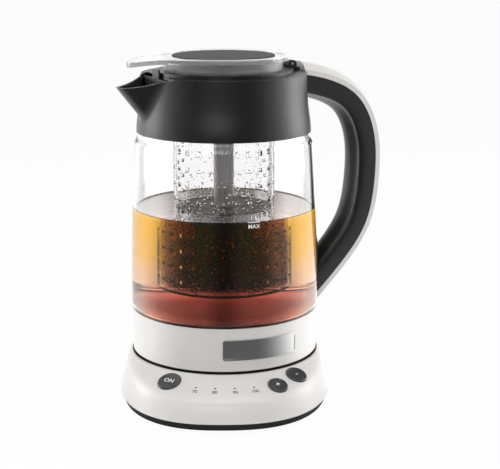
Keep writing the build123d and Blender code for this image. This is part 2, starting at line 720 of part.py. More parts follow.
# ---------------------------------------------------------------- foot of the jug
with BuildPart() as socket_retainer:
    add(tube(RETAINER_R, SOCKET_R + RETAINER_GAP, RETAINER_Z, RETAINER_Z + COVER_FLOOR_T))
    add(tube(RETAINER_R, SOCKET_FLANGE_R + PLUG_GAP, BOTTOM_FLOOR_Z, RETAINER_Z))
save(socket_retainer, "socket_retainer")

with BuildPart() as bottom_cover:
    add(tube(BOTTOM_R, SOCKET_R + RETAINER_GAP, DISH_FLOOR_Z, BOTTOM_FLOOR_Z))
    add(tube(BOTTOM_R, BOTTOM_R - COVER_WALL, DISH_FLOOR_Z, RING_BOTTOM_Z + FIT + COVER_WALL / 2))
    add(tube(BOTTOM_UPPER_R, BOTTOM_UPPER_R - COVER_WALL, RING_BOTTOM_Z + FIT, BOTTOM_TOP_Z))
    add(pegs(JUG_POSTS, BOSS_R, BOTTOM_FLOOR_Z, STUD_Z))
    add(pegs(JUG_POSTS, SCREW_R, DISH_FLOOR_Z, STUD_Z), mode=Mode.SUBTRACT)
    add(pegs(JUG_POSTS, SCREW_HEAD_R + FIT, DISH_FLOOR_Z, JUG_HEAD_Z + SCREW_HEAD_T), mode=Mode.SUBTRACT)
save(bottom_cover, "bottom_cover")

with BuildPart() as bottom_screws:
    add(screws(JUG_POSTS, JUG_HEAD_Z, STUD_Z + SCREW_REACH))
save(bottom_screws, "bottom_screws")

handle_screw_planes = [
    Plane(
        origin=(RING_R * cos(radians(b)), RING_R * sin(radians(b)), HANDLE_SCREW_Z),
        x_dir=(0, 0, 1),
        z_dir=(cos(radians(b)), sin(radians(b)), 0),
    )
    for b in (JUG_TURN - HANDLE_SCREW_SPREAD, JUG_TURN + HANDLE_SCREW_SPREAD)
]

with BuildPart() as steel_ring:
    add(tube(RING_R, RING_R - RING_T, RING_BOTTOM_Z, RING_TOP_Z))
    for plane in handle_screw_planes:
        with BuildSketch(plane):
            Circle(SCREW_R)
        extrude(amount=2 * RING_T, both=True, mode=Mode.SUBTRACT)
save(steel_ring, "steel_ring")


def badge_block(height, width, corner_r):
    """A rounded block that cuts the badge's outline out of a ring."""
    a = radians(BADGE_BEARING)
    plane = Plane(origin=(0, 0, BADGE_Z), x_dir=(-sin(a), cos(a), 0), z_dir=(cos(a), sin(a), 0))
    with BuildPart() as block:
        with BuildSketch(plane):
            RectangleRounded(width, height, corner_r)
        extrude(amount=2 * RING_R)
    return block.part


with BuildPart() as badge_frame:
    add(tube(RING_R + BADGE_T + BADGE_FRAME_RISE, RING_R + BADGE_T / 2, RING_BOTTOM_Z, RING_TOP_Z))
    add(badge_block(BADGE_HEIGHT, BADGE_WIDTH, BADGE_CORNER_R), mode=Mode.INTERSECT)
    inner_size = (BADGE_HEIGHT - 2 * BADGE_FRAME, BADGE_WIDTH - 2 * BADGE_FRAME)
    add(badge_block(*inner_size, BADGE_CORNER_R / 2), mode=Mode.SUBTRACT)

with BuildPart() as badge_plate:
    add(tube(RING_R + BADGE_T, RING_R + RUNNING, RING_BOTTOM_Z, RING_TOP_Z))
    add(badge_block(BADGE_HEIGHT, BADGE_WIDTH, BADGE_CORNER_R), mode=Mode.INTERSECT)
    add(badge_frame.part)
save(badge_plate, "badge_plate")

with BuildPart() as vessel_floor:
    add(pegs([(0, 0)], BOTTOM_UPPER_R, FLOOR_UNDER_Z, RING_TOP_Z))
    add(tube(BOTTOM_UPPER_R, BOTTOM_UPPER_R - RING_T, FLOOR_UNDER_Z - FLOOR_HEM, FLOOR_UNDER_Z))
    add(pegs(JUG_POSTS, STUD_R, STUD_Z, FLOOR_UNDER_Z))
    add(pegs(JUG_POSTS, SCREW_R, STUD_Z, STUD_Z + SCREW_REACH + FIT), mode=Mode.SUBTRACT)
save(vessel_floor, "vessel_floor")

with BuildPart() as heat_spreader:
    add(pegs([(0, 0)], SPREADER_R, SPREADER_UNDER_Z, FLOOR_UNDER_Z))
save(heat_spreader, "heat_spreader")

with BuildPart() as heating_element:
    with BuildSketch(bearing_plane(ELEMENT_START)):
        with Locations((ELEMENT_RING_R, SPREADER_UNDER_Z - ELEMENT_HEIGHT / 2)):
            RectangleRounded(ELEMENT_WIDTH, ELEMENT_HEIGHT, ELEMENT_CORNER_R)
    revolve(axis=Axis.Z, revolution_arc=ELEMENT_ARC)
    ends = (ELEMENT_START + TERMINAL_STEP, ELEMENT_START + ELEMENT_ARC - TERMINAL_STEP)
    terminal_low_z = SPREADER_UNDER_Z - 2 * ELEMENT_HEIGHT
    terminal_high_z = SPREADER_UNDER_Z - ELEMENT_HEIGHT / 2
    add(pegs(ring_places(ELEMENT_RING_R, ends), TERMINAL_R, terminal_low_z, terminal_high_z))
save(heating_element, "heating_element")

with BuildPart() as thermostat:
    add(pegs([(0, 0)], THERMOSTAT_R, SPREADER_UNDER_Z - THERMOSTAT_FLANGE_T, SPREADER_UNDER_Z))
    add(pegs([(0, 0)], THERMOSTAT_R - THERMOSTAT_STEP, THERMOSTAT_Z, SPREADER_UNDER_Z))
save(thermostat, "thermostat")

with BuildPart() as temperature_sensor:
    sensor_place = ring_places(SENSOR_RING_R, [JUG_TURN + SENSOR_TURN])
    add(pegs(sensor_place, SENSOR_R, SPREADER_UNDER_Z - SENSOR_HEIGHT, SPREADER_UNDER_Z))
save(temperature_sensor, "temperature_sensor")

# ---------------------------------------------------------------- glass and its seals
with BuildPart() as floor_gasket:
    add(tube(RING_R + LOOSE, SEAL_LIP_R - SEAL_FLAP, RING_TOP_Z, GLASS_BOTTOM_Z))
    add(tube(GLASS_FOOT_R - GLASS_WALL - LOOSE, SEAL_LIP_R, RING_TOP_Z, GLASS_BOTTOM_Z + SEAL_LIP_HEIGHT))
save(floor_gasket, "floor_gasket")

with BuildPart() as glass_vessel:
    with BuildSketch(Plane.XZ):
        with BuildLine():
            glass_mid_z = (GLASS_BOTTOM_Z + GLASS_SHOULDER_Z) / 2
            outside = ThreePointArc(
                (GLASS_FOOT_R, GLASS_BOTTOM_Z),
                (GLASS_MID_R, glass_mid_z),
                (GLASS_SHOULDER_R, GLASS_SHOULDER_Z),
            )
            inside = ThreePointArc(
                (GLASS_FOOT_R - GLASS_WALL, GLASS_BOTTOM_Z),
                (GLASS_MID_R - GLASS_WALL, glass_mid_z),
                (GLASS_SHOULDER_R - GLASS_WALL, GLASS_SHOULDER_Z),
            )
            neck = Spline(
                outside @ 1,
                (GLASS_NECK_R, GLASS_SHOULDER_Z + GLASS_LIP / 2),
                (GLASS_BEAD_R, GLASS_TOP_Z - GLASS_LIP / 5),
                (GLASS_BEAD_R - GLASS_LIP_ROUND, GLASS_TOP_Z),
                tangents=[outside % 1, (-1, 0.2)],
            )
            mouth = Line((GLASS_MOUTH_R, GLASS_TOP_Z), (GLASS_MOUTH_R, GLASS_TOP_Z - GLASS_LIP / 2))
            Line(neck @ 1, mouth @ 0)
            Spline(mouth @ 1, inside @ 1, tangents=[(0, -1), (inside % 1) * -1])
            Line(inside @ 0, outside @ 0)
        make_face()
    revolve(axis=Axis.Z)
save(glass_vessel, "glass_vessel")

with BuildPart() as collar_gasket:
    add(tube(GLASS_BEAD_R, COLLAR_SKIRT_R + RUNNING, GLASS_TOP_Z, GLASS_SEAT_Z))
    add(tube(GLASS_MOUTH_R - RUNNING, COLLAR_SKIRT_R + RUNNING, GLASS_TOP_Z - SEAL_DEPTH, GLASS_SEAT_Z))
save(collar_gasket, "collar_gasket")


# ---------------------------------------------------------------- collar with its beak
def beak_face(z, inset):
    """Plan of the beak at height z: a triangle with a rounded tip, pushed further out the higher it lies."""
    reach = BEAK_REACH - (DECK_Z - z) * (BEAK_REACH - BEAK_ROOT) / BEAK_DEPTH
    tip = reach - inset / sin(atan2(BEAK_HALF_WIDTH, BEAK_LENGTH))
    root = tip - BEAK_LENGTH
    with BuildSketch(level(z, JUG_TURN + 180)) as plan:
        with BuildLine():
            Polyline((root, -BEAK_HALF_WIDTH), (tip, 0), (root, BEAK_HALF_WIDTH), close=True)
        make_face()
        fillet(plan.vertices().sort_by(Axis.X)[-1], BEAK_KEEL_R - inset)
    return plan.sketch.face()


def spout_box(x_low, x_high, half_width, z_low, z_high):
    """A block that lies across the spout's direction, x measured outwards along it."""
    with BuildPart() as block:
        with BuildSketch(level(z_low, JUG_TURN + 180)):
            with Locations(((x_low + x_high) / 2, 0)):
                Rectangle(x_high - x_low, 2 * half_width)
        extrude(amount=z_high - z_low)
    return block.part


def on_collar_side(edge):
    """Whether an edge runs along the collar's side wall, where the beak grows out of it."""
    points = [edge @ t for t in (0.2, 0.5, 0.8)]
    radii = [Vector(p.X, p.Y, 0).length for p in points]
    beside = all(COLLAR_RIM_R - LOOSE < r < COLLAR_FOOT_R for r in radii)
    inside = COLLAR_BOTTOM_Z + LOOSE < edge.center().Z < DECK_Z - LOOSE
    seam = all(abs(p.Y) < RUNNING and p.X > 0 for p in points)
    return beside and inside and not seam


def collar_solid(gap):
    """The collar's outer form, its side grown by a gap."""
    side_points = [
        (COLLAR_FOOT_R + gap, COLLAR_BOTTOM_Z),
        (COLLAR_MID_R + gap, COLLAR_BOTTOM_Z + COLLAR_HEIGHT * COLLAR_MID_SHARE),
        (COLLAR_RIM_R + gap, DECK_Z),
    ]
    with BuildPart() as solid:
        with BuildSketch(Plane.XZ):
            with BuildLine():
                side = Spline(*side_points, tangents=[(0, 1), (COLLAR_RIM_R - COLLAR_MID_R, COLLAR_HEIGHT)])
                Polyline(side @ 1, (0, DECK_Z), (0, COLLAR_BOTTOM_Z), side @ 0)
            make_face()
        revolve(axis=Axis.Z)
    return solid.part


with BuildPart() as collar_form:
    add(collar_solid(0))

with BuildPart() as collar_room:
    add(collar_solid(RUNNING))
    add(pegs([(0, 0)], COLLAR_RIM_R + RUNNING, DECK_Z - RUNNING, COVER_TOP_Z))

beak_low_z = DECK_Z - BEAK_DEPTH - BEAK_SINK
with BuildPart() as beak_form:
    loft(sections=[beak_face(beak_low_z, 0), beak_face(DECK_Z, 0)])

with BuildPart() as collar_outside:
    add(collar_form.part)
    add(beak_form.part)
    fillet(collar_outside.edges().filter_by(on_collar_side), BEAK_BLEND_R)

with BuildPart() as beak_hollow:
    loft(sections=[beak_face(beak_low_z, BEAK_WALL), beak_face(DECK_Z + BEAK_WALL, BEAK_WALL)])
    add(pegs([(0, 0)], FILTER_X, 0, DECK_Z + BEAK_DROP), mode=Mode.SUBTRACT)

with BuildPart() as beak_trim:
    with BuildSketch(SPOUT_PLANE):
        with BuildLine():
            rim_curve = ThreePointArc(
                (BEAK_TRIM_R, DECK_Z),
                (BEAK_TRIM_MID_R, DECK_Z - BEAK_TRIM_MID),
                (BEAK_REACH, DECK_Z - BEAK_DROP),
            )
            high = DECK_Z + BEAK_DROP
            Polyline(rim_curve @ 1, (BEAK_REACH, high), (BEAK_TRIM_R, high), rim_curve @ 0)
        make_face()
    extrude(amount=COLLAR_RIM_R, both=True)

with BuildPart() as filter_rails:
    add(spout_box(FILTER_X - RAIL_DEPTH, FILTER_X, COLLAR_RIM_R, DECK_Z - FILTER_HEIGHT / 2, DECK_UNDER_Z))
    rail_gap = FILTER_TOP_HALF - RAIL_REACH / 2
    add(spout_box(0, COLLAR_RIM_R, rail_gap, 0, DECK_Z), mode=Mode.SUBTRACT)
    add(pegs([(0, 0)], COLLAR_INSIDE_R + RAIL_DEPTH / 2, 0, DECK_Z), mode=Mode.INTERSECT)

with BuildPart() as spout_collar:
    add(collar_outside.part)
    groove_r = COLLAR_FOOT_R - COLLAR_HEM_WALL
    add(tube(groove_r, COLLAR_SKIRT_R, COLLAR_BOTTOM_Z, GLASS_SEAT_Z), mode=Mode.SUBTRACT)
    add(pegs([(0, 0)], COLLAR_THROAT_R, 0, DECK_UNDER_Z), mode=Mode.SUBTRACT)
    add(pegs([(0, 0)], COLLAR_INSIDE_R, GLASS_SEAT_Z + COLLAR_LEDGE, DECK_UNDER_Z), mode=Mode.SUBTRACT)
    add(pegs([(0, 0)], DECK_HOLE_R, 0, DECK_Z), mode=Mode.SUBTRACT)
    add(beak_hollow.part, mode=Mode.SUBTRACT)
    add(filter_rails.part)
    window_z = DECK_UNDER_Z - LOOSE
    window = spout_box(FILTER_X - RAIL_DEPTH, COLLAR_INSIDE_R, FILTER_TOP_HALF + FIT, window_z, DECK_Z)
    add(window, mode=Mode.SUBTRACT)
    add(beak_trim.part, mode=Mode.SUBTRACT)
save(spout_collar, "spout_collar")

spout_out = SPOUT_PLANE.x_dir
filter_plane = Plane(origin=spout_out * FILTER_X, x_dir=HANDLE_NORMAL * -1, z_dir=spout_out)
with BuildPart() as spout_filter:
    with BuildSketch(filter_plane):
        filter_foot_z = DECK_Z - FILTER_HEIGHT
        filter_top_z = DECK_Z - FILTER_RIM_DROP
        with BuildLine():
            Polyline(
                (-FILTER_FOOT_HALF, filter_foot_z),
                (FILTER_FOOT_HALF, filter_foot_z),
                (FILTER_TOP_HALF, filter_top_z),
                (FILTER_TAB_HALF, filter_top_z),
                (FILTER_TAB_HALF, DECK_Z + FILTER_TAB_RISE),
                (-FILTER_TAB_HALF, DECK_Z + FILTER_TAB_RISE),
                (-FILTER_TAB_HALF, filter_top_z),
                (-FILTER_TOP_HALF, filter_top_z),
                close=True,
            )
        make_face()
        for i in range(-FILTER_SLOTS, FILTER_SLOTS + 1):
            # Each slot starts above the sloping edge and ends under the top bar.
            slot_x = i * FILTER_PITCH
            slope = FILTER_HEIGHT / (FILTER_TOP_HALF - FILTER_FOOT_HALF)
            foot = filter_foot_z + max(0, abs(slot_x) - FILTER_FOOT_HALF) * slope + FILTER_PITCH
            top = filter_top_z - FILTER_PITCH / 2
            with Locations((slot_x, (foot + top) / 2)):
                Rectangle(FILTER_SLOT, top - foot, mode=Mode.SUBTRACT)
    extrude(amount=FILTER_T)
save(spout_filter, "spout_filter")


# ---------------------------------------------------------------- handle
def grip_profile(inset):
    """Section of the grip: flat towards the strap, rounded towards the fingers."""
    half = HANDLE_HALF - inset
    nose = GRIP_DEPTH - inset
    shoulder = (HANDLE_HALF * NOSE_WIDTH_SHARE - inset / 2, -GRIP_DEPTH * NOSE_DEPTH_SHARE + inset / 2)
    with BuildSketch(section_plane) as profile:
        with BuildLine():
            Line((-half, inset), (half, inset))
            Line((half, inset), (half, -GRIP_SIDE))
            Spline(
                (half, -GRIP_SIDE),
                shoulder,
                (0, -nose),
                (-shoulder[0], shoulder[1]),
                (-half, -GRIP_SIDE),
                tangents=[(0, -1), (0, 1)],
            )
            Line((-half, -GRIP_SIDE), (-half, inset))
        make_face()
    return profile.sketch.face()


def strap_profile(inset):
    """Section of the strap: upright edges and a domed back."""
    half = HANDLE_HALF - inset
    edge = STRAP_EDGE - inset / 2
    foot = -inset
    with BuildSketch(section_plane) as profile:
        with BuildLine():
            Polyline((-half, edge), (-half, foot), (half, foot), (half, edge))
            ThreePointArc((half, edge), (0, STRAP_EDGE + STRAP_CROWN - inset), (-half, edge))
        make_face()
    return profile.sketch.face()


def handle_block(height, width, corner_r):
    """A rounded block along the handle's direction, which cuts an outline out of a ring."""
    middle = FOOT_PLATE_BOTTOM_Z + FOOT_PLATE_LENGTH / 2
    plane = Plane(origin=(0, 0, middle), x_dir=HANDLE_NORMAL, z_dir=HANDLE_PLANE.x_dir)
    with BuildPart() as block:
        with BuildSketch(plane):
            RectangleRounded(width, height, corner_r)
        extrude(amount=2 * RING_R)
    return block.part


with BuildLine(HANDLE_PLANE) as handle_line:
    Spline(*HANDLE_LINE)
handle_path = handle_line.line
section_plane = Plane(origin=handle_path @ 0, x_dir=HANDLE_NORMAL, z_dir=handle_path % 0)

with BuildPart() as grip_form:
    sweep(sections=grip_profile(0.0), path=handle_path)
    add(pegs([(0, 0)], FOOT_PLATE_R + FOOT_PLATE_T / 2, 0, COLLAR_BOTTOM_Z), mode=Mode.SUBTRACT)

with BuildPart() as grip_channel:
    sweep(sections=grip_profile(GRIP_WALL), path=handle_path)

with BuildPart() as grip_blend:
    add(collar_form.part)
    add(grip_form.part)
    arm_roots = grip_blend.edges().filter_by(on_collar_side)
    fillet(arm_roots.filter_by(lambda edge: edge.center().Z < DECK_Z - STRAP_EDGE), GRIP_BLEND_R)

with BuildPart() as foot_pad:
    pad_top_z = FOOT_PLATE_BOTTOM_Z + FOOT_PAD_HEIGHT
    add(tube(FOOT_PLATE_OUTER_R, RING_R + RUNNING, FOOT_PLATE_BOTTOM_Z, pad_top_z))
    add(handle_block(FOOT_PLATE_LENGTH, HANDLE_WIDTH, FOOT_PLATE_CORNER_R), mode=Mode.INTERSECT)

with BuildPart() as foot_plate:
    plate_top_z = FOOT_PLATE_BOTTOM_Z + FOOT_PLATE_LENGTH
    add(tube(FOOT_PLATE_OUTER_R, FOOT_PLATE_R, FOOT_PLATE_BOTTOM_Z, plate_top_z))
    add(handle_block(FOOT_PLATE_LENGTH, HANDLE_WIDTH, FOOT_PLATE_CORNER_R), mode=Mode.INTERSECT)
    add(foot_pad.part)

with BuildPart() as handle_grip:
    add(grip_blend.part)
    add(collar_room.part, mode=Mode.SUBTRACT)
    add(grip_channel.part, mode=Mode.SUBTRACT)
    add(foot_plate.part)
    for plane in handle_screw_planes:
        with BuildSketch(plane):
            Circle(SCREW_R)
        extrude(amount=FOOT_PLATE_OUTER_R - RING_R - FIT, mode=Mode.SUBTRACT)
save(handle_grip, "handle_grip")

with BuildPart() as handle_screws:
    for plane in handle_screw_planes:
        with BuildSketch(plane.offset(-RING_T - RUNNING)):
            Circle(SCREW_HEAD_R)
        extrude(amount=-SCREW_HEAD_T)
        with BuildSketch(plane.offset(-RING_T - RUNNING)):
            Circle(SHANK_R)
        extrude(amount=FOOT_PLATE_OUTER_R - RING_R + RING_T - LOOSE)
save(handle_screws, "handle_screws")

with BuildPart() as strap_channel:
    sweep(sections=strap_profile(STRAP_WALL), path=handle_path)
    upper_end_r = COLLAR_RIM_R + FIT + STRAP_WALL
    lower_end_r = FOOT_PLATE_OUTER_R + FIT + STRAP_WALL
    add(pegs([(0, 0)], upper_end_r, COLLAR_BOTTOM_Z, COVER_TOP_Z), mode=Mode.SUBTRACT)
    add(pegs([(0, 0)], lower_end_r, 0, COLLAR_BOTTOM_Z), mode=Mode.SUBTRACT)

with BuildPart() as handle_strap:
    sweep(sections=strap_profile(0.0), path=handle_path)
    add(pegs([(0, 0)], COLLAR_RIM_R + FIT, COLLAR_BOTTOM_Z, COVER_TOP_Z), mode=Mode.SUBTRACT)
    add(pegs([(0, 0)], FOOT_PLATE_OUTER_R + FIT, 0, COLLAR_BOTTOM_Z), mode=Mode.SUBTRACT)
    add(strap_channel.part, mode=Mode.SUBTRACT)
save(handle_strap, "handle_strap")

# ---------------------------------------------------------------- infuser
with BuildPart() as infuser_basket:
    add(tube(BASKET_R, BASKET_R - BASKET_WALL, BASKET_BOTTOM_Z, SEAT_TOP_Z))
    add(tube(BASKET_R, STEM_R - STEM_WALL, BASKET_BOTTOM_Z, BASKET_BOTTOM_Z + BASKET_WALL))
    add(tube(BASKET_FLANGE_R, BASKET_R - BASKET_WALL, SEAT_TOP_Z, SEAT_TOP_Z + BASKET_FLANGE_T))
    for i in range(HOLE_COUNT // 2):
        with BuildSketch(bearing_plane(i * 360 / HOLE_COUNT)):
            with Locations(*[(0, HOLE_TOP_Z - row * HOLE_PITCH) for row in range(HOLE_ROWS)]):
                Circle(HOLE_R)
        extrude(amount=BASKET_R + BASKET_WALL, both=True, mode=Mode.SUBTRACT)
save(infuser_basket, "infuser_basket")

with BuildPart() as infuser_stem:
    add(tube(STEM_R, STEM_R - STEM_WALL, BASKET_BOTTOM_Z + BASKET_WALL, STEM_TOP_Z))
    with BuildSketch(Plane.XZ):
        with Locations((0, HOLE_TOP_Z)):
            Rectangle(STEM_SLOT_WIDTH, STEM_SLOT_HEIGHT)
    extrude(amount=2 * STEM_R, mode=Mode.SUBTRACT)
save(infuser_stem, "infuser_stem")

with BuildPart() as lug:
    with BuildSketch(HANDLE_PLANE):
        with Locations((PIVOT_R, SEAT_TOP_Z + LUG_HEIGHT / 2)):
            RectangleRounded(LUG_LENGTH, LUG_HEIGHT, LUG_ROUND)
        with Locations((PIVOT_R, SEAT_TOP_Z + LUG_HEIGHT / 4)):
            Rectangle(LUG_LENGTH, LUG_HEIGHT / 2)
    extrude(amount=LUG_WIDTH / 2, both=True)
    with BuildSketch(HANDLE_PLANE):
        with Locations((PIVOT_R, SEAT_TOP_Z + LUG_HEIGHT / 2)):
            Rectangle(2 * LUG_LENGTH, 2 * LUG_HEIGHT)
    extrude(amount=KNUCKLE_WIDTH / 2 + FIT, both=True, mode=Mode.SUBTRACT)
    with BuildSketch(HANDLE_PLANE):
        with Locations((PIVOT_R, PIVOT_Z)):
            Circle(PIN_R + PIN_SEAT)
    extrude(amount=LUG_WIDTH, both=True, mode=Mode.SUBTRACT)

with BuildPart() as infuser_seat:
    add(tube(SEAT_OUTER_R, BASKET_R + LOOSE, DECK_Z, SEAT_TOP_Z))
    with BuildSketch(level(DECK_Z, JUG_TURN)):
        with Locations(((SEAT_OUTER_R - SEAT_SKIRT_DEPTH + LUG_TAB_REACH) / 2, 0)):
            Rectangle(LUG_TAB_REACH - SEAT_OUTER_R + SEAT_SKIRT_DEPTH, 2 * LUG_TAB_HALF)
    extrude(amount=SEAT_T)
    add(tube(SEAT_SKIRT_R, SEAT_SKIRT_R - SEAT_SKIRT_WALL, DECK_Z - SEAT_SKIRT_DEPTH, DECK_Z))
    add(lug.part)
save(infuser_seat, "infuser_seat")

with BuildPart() as infuser_skirt:
    add(tube(SKIRT_R, SKIRT_R - SKIRT_WALL, SEAT_TOP_Z, SKIRT_TOP_Z))
save(infuser_skirt, "infuser_skirt")

with BuildPart() as hinge_pin:
    with BuildSketch(HANDLE_PLANE):
        with Locations((PIVOT_R, PIVOT_Z)):
            Circle(PIN_R)
    extrude(amount=LUG_WIDTH / 2, both=True)
save(hinge_pin, "hinge_pin")


# ---------------------------------------------------------------- lid
def cover_face(z, inset):
    """Plan of the lid at height z: a disc with a tongue that tapers over the beak."""
    big = COVER_R - inset
    small = TONGUE_TIP_R - inset
    tip_x = TONGUE_REACH - TONGUE_TIP_R
    lean = acos((big - small) / tip_x)
    with BuildSketch(level(z, JUG_TURN + 180)) as plan:
        with BuildLine():
            root_x, root_y = big * cos(lean), big * sin(lean)
            end_x, end_y = tip_x + small * cos(lean), small * sin(lean)
            upper = Line((root_x, root_y), (end_x, end_y))
            lower = Line((end_x, -end_y), (root_x, -root_y))
            ThreePointArc(upper @ 1, (tip_x + small, 0), lower @ 0)
            ThreePointArc(lower @ 1, (-big, 0), upper @ 0)
        make_face()
    return plan.sketch.face()


def cover_slab(z_low, z_high):
    """A layer that runs level over the infuser and bends down along the tongue."""
    bend_middle = (TONGUE_BEND_R + TONGUE_REACH) / 2
    with BuildPart() as slab:
        with BuildSketch(SPOUT_PLANE):
            with BuildLine():
                bends = [
                    ThreePointArc(
                        (TONGUE_BEND_R, z),
                        (bend_middle, z - TONGUE_DROP / 4),
                        (TONGUE_REACH, z - TONGUE_DROP),
                    )
                    for z in (z_low, z_high)
                ]
                Line(bends[0] @ 1, bends[1] @ 1)
                Polyline(bends[0] @ 0, (-2 * COVER_R, z_low), (-2 * COVER_R, z_high), bends[1] @ 0)
            make_face()
        extrude(amount=2 * COVER_R, both=True)
    return slab.part


with BuildPart() as ear:
    with BuildSketch(HANDLE_PLANE):
        Polygon(
            (COVER_R - COVER_RIM_WIDTH, SKIRT_TOP_Z + FIT),
            (COVER_R - LOOSE, COVER_TOP_Z - FIT),
            (PIVOT_R + KNUCKLE_R * cos(EAR_LEAN), PIVOT_Z + KNUCKLE_R * sin(EAR_LEAN)),
            (PIVOT_R - KNUCKLE_R * cos(EAR_LEAN), PIVOT_Z - KNUCKLE_R * sin(EAR_LEAN)),
            align=None,
        )
        with Locations((PIVOT_R, PIVOT_Z)):
            Circle(KNUCKLE_R)
    extrude(amount=KNUCKLE_WIDTH / 2, both=True)

with BuildPart() as cover_sheet:
    extrude(cover_face(SKIRT_TOP_Z - TONGUE_DROP, 0), amount=TONGUE_DROP + COVER_T + COVER_RIM)
    add(cover_slab(SKIRT_TOP_Z, COVER_TOP_Z + COVER_RIM), mode=Mode.INTERSECT)

with BuildPart() as cover_hollow:
    extrude(cover_face(COVER_TOP_Z - TONGUE_DROP, COVER_RIM_WIDTH), amount=TONGUE_DROP + COVER_T)
    add(cover_slab(COVER_TOP_Z, COVER_TOP_Z + COVER_T), mode=Mode.INTERSECT)

with BuildPart() as cover_disc:
    add(cover_sheet.part)
    add(cover_hollow.part, mode=Mode.SUBTRACT)
    well_z = COVER_TOP_Z - INSERT_SINK
    add(pegs([(0, 0)], INSERT_R + FIT / 2, well_z, COVER_TOP_Z + COVER_RIM), mode=Mode.SUBTRACT)
    add(ear.part)
    with BuildSketch(HANDLE_PLANE):
        with Locations((PIVOT_R, PIVOT_Z)):
            Circle(PIN_R + RUNNING)
    extrude(amount=LUG_WIDTH, both=True, mode=Mode.SUBTRACT)
save(cover_disc, "cover_disc")

with BuildPart() as cover_insert:
    add(pegs([(0, 0)], INSERT_R, well_z, well_z + INSERT_T))
save(cover_insert, "cover_insert")
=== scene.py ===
"""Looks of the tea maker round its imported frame: finishes, glass, tea, marks, light and camera."""
import json
import math
import random

import bpy
from mathutils import Matrix, Vector, noise
from mathutils.bvhtree import BVHTree


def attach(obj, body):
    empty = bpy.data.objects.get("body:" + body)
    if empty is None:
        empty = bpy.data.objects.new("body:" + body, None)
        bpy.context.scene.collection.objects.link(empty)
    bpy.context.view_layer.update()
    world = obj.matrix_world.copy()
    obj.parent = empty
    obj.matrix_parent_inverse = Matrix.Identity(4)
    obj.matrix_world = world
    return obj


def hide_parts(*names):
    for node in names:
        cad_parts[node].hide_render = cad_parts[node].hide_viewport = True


MM = 0.001
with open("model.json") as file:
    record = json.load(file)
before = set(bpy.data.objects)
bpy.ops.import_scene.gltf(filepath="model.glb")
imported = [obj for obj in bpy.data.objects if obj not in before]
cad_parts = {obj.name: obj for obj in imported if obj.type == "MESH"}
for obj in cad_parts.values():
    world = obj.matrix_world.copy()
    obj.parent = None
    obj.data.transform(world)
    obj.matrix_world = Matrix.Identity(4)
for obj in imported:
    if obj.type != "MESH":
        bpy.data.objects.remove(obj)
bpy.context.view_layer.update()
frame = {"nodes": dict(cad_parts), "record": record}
nodes = frame["nodes"]

# ------------------------------------------------------------ measures, in mm
RIM_R = 71.0
BASE_HEIGHT = 31.5
PANEL_TILT = 23.0
RING_TOP = 64.6
GLASS_BOTTOM = 65.6
GLASS_TOP = 199.5
GLASS_LIP = 12.5
GLASS_WALL = 2.6
GLASS_OUTSIDE = (69.0, 67.9, 64.9)
GLASS_NECK_R = 62.2
GLASS_BEAD_R = 62.0
GLASS_MOUTH_R = 59.8
GASKET_INSIDE_R = 61.95
GASKET_LIP_R = 64.15
GASKET_LIP_TOP = 67.6
TEA_LEVEL = 139.0
TEA_SKIN = 0.05     # how far the tea reaches into the glass
TEA_SINK = 0.1      # and into the floor
TEA_TINT_LOW = 64.0
FLOOR_SHADE_R = 66.0
SHADE_UNDER_R = 44.0
SHADE_UNDER_TOP = 78.0
BASKET_INSIDE_R = 35.4
BASKET_FLOOR = 81.6
STEM_R = 7.4
HEAP_R = 16.5
LEAF_TOP = TEA_LEVEL - 0.9
LEAF_LOW = BASKET_FLOOR + 1.0
DROP_ZONE = 30.0
FULL_TURN = 6.283
HALF_TURN = 3.1416
LETTER_SIZE = 1.38      # a letter's font size for each mm of its height
LETTER_WEIGHT = 0.02
GLASS_INK = 0.06        # how far marks stand off the glass, the cover and the buttons
COVER_INK = 0.05
BUTTON_INK = 0.04
MARK_BEARING = -72.3
START_BUTTON = (80.7, -118.9)
TEMPERATURE_BUTTON = (84.4, -64.0)
WARM_BUTTON = (78.6, -50.0)
LAMP_RING_R = 83.3
LAMP_PITCH = 9.35
LAMP_BEARINGS = [-90 + (i - 1.5) * LAMP_PITCH for i in range(4)]

# ------------------------------------------------------------ light, and the camera in m
LEFT_LIGHT = 1.3
RIGHT_LIGHT = 1.8
THROUGH_LIGHT = 1.5
WORLD_WHITE = 1.25
SOFT_LIGHT = 0.62
FLOOR_WHITE = 0.94
FLOOR_DROP = 0.0002
CAMERA_AT = (0.0, -0.9502, 0.336)
CAMERA_DOWN = 13.0
CAMERA_ASIDE = -1.146
CAMERA_LENS = 94.97


# ------------------------------------------------------------ finishes
def bare(name):
    """A material with its shader and its nodes."""
    mat = bpy.data.materials.new(name)
    mat.use_nodes = True
    tree = mat.node_tree
    return mat, tree, tree.nodes["Principled BSDF"]


def step(tree, value, low, high, at_low, at_high, kind="SMOOTHSTEP"):
    """A value mapped from one range to another, with soft ends unless `kind` is LINEAR."""
    node = tree.nodes.new("ShaderNodeMapRange")
    node.interpolation_type = kind
    node.inputs["From Min"].default_value = low
    node.inputs["From Max"].default_value = high
    node.inputs["To Min"].default_value = at_low
    node.inputs["To Max"].default_value = at_high
    tree.links.new(value, node.inputs["Value"])
    return node.outputs["Result"]


def reckon(tree, operation, *values):
    """A maths node over values, each a socket or a number."""
    node = tree.nodes.new("ShaderNodeMath")
    node.operation = operation
    for socket, value in zip(node.inputs, values):
        if isinstance(value, (int, float)):
            socket.default_value = value
        else:
            tree.links.new(value, socket)
    return node.outputs[0]


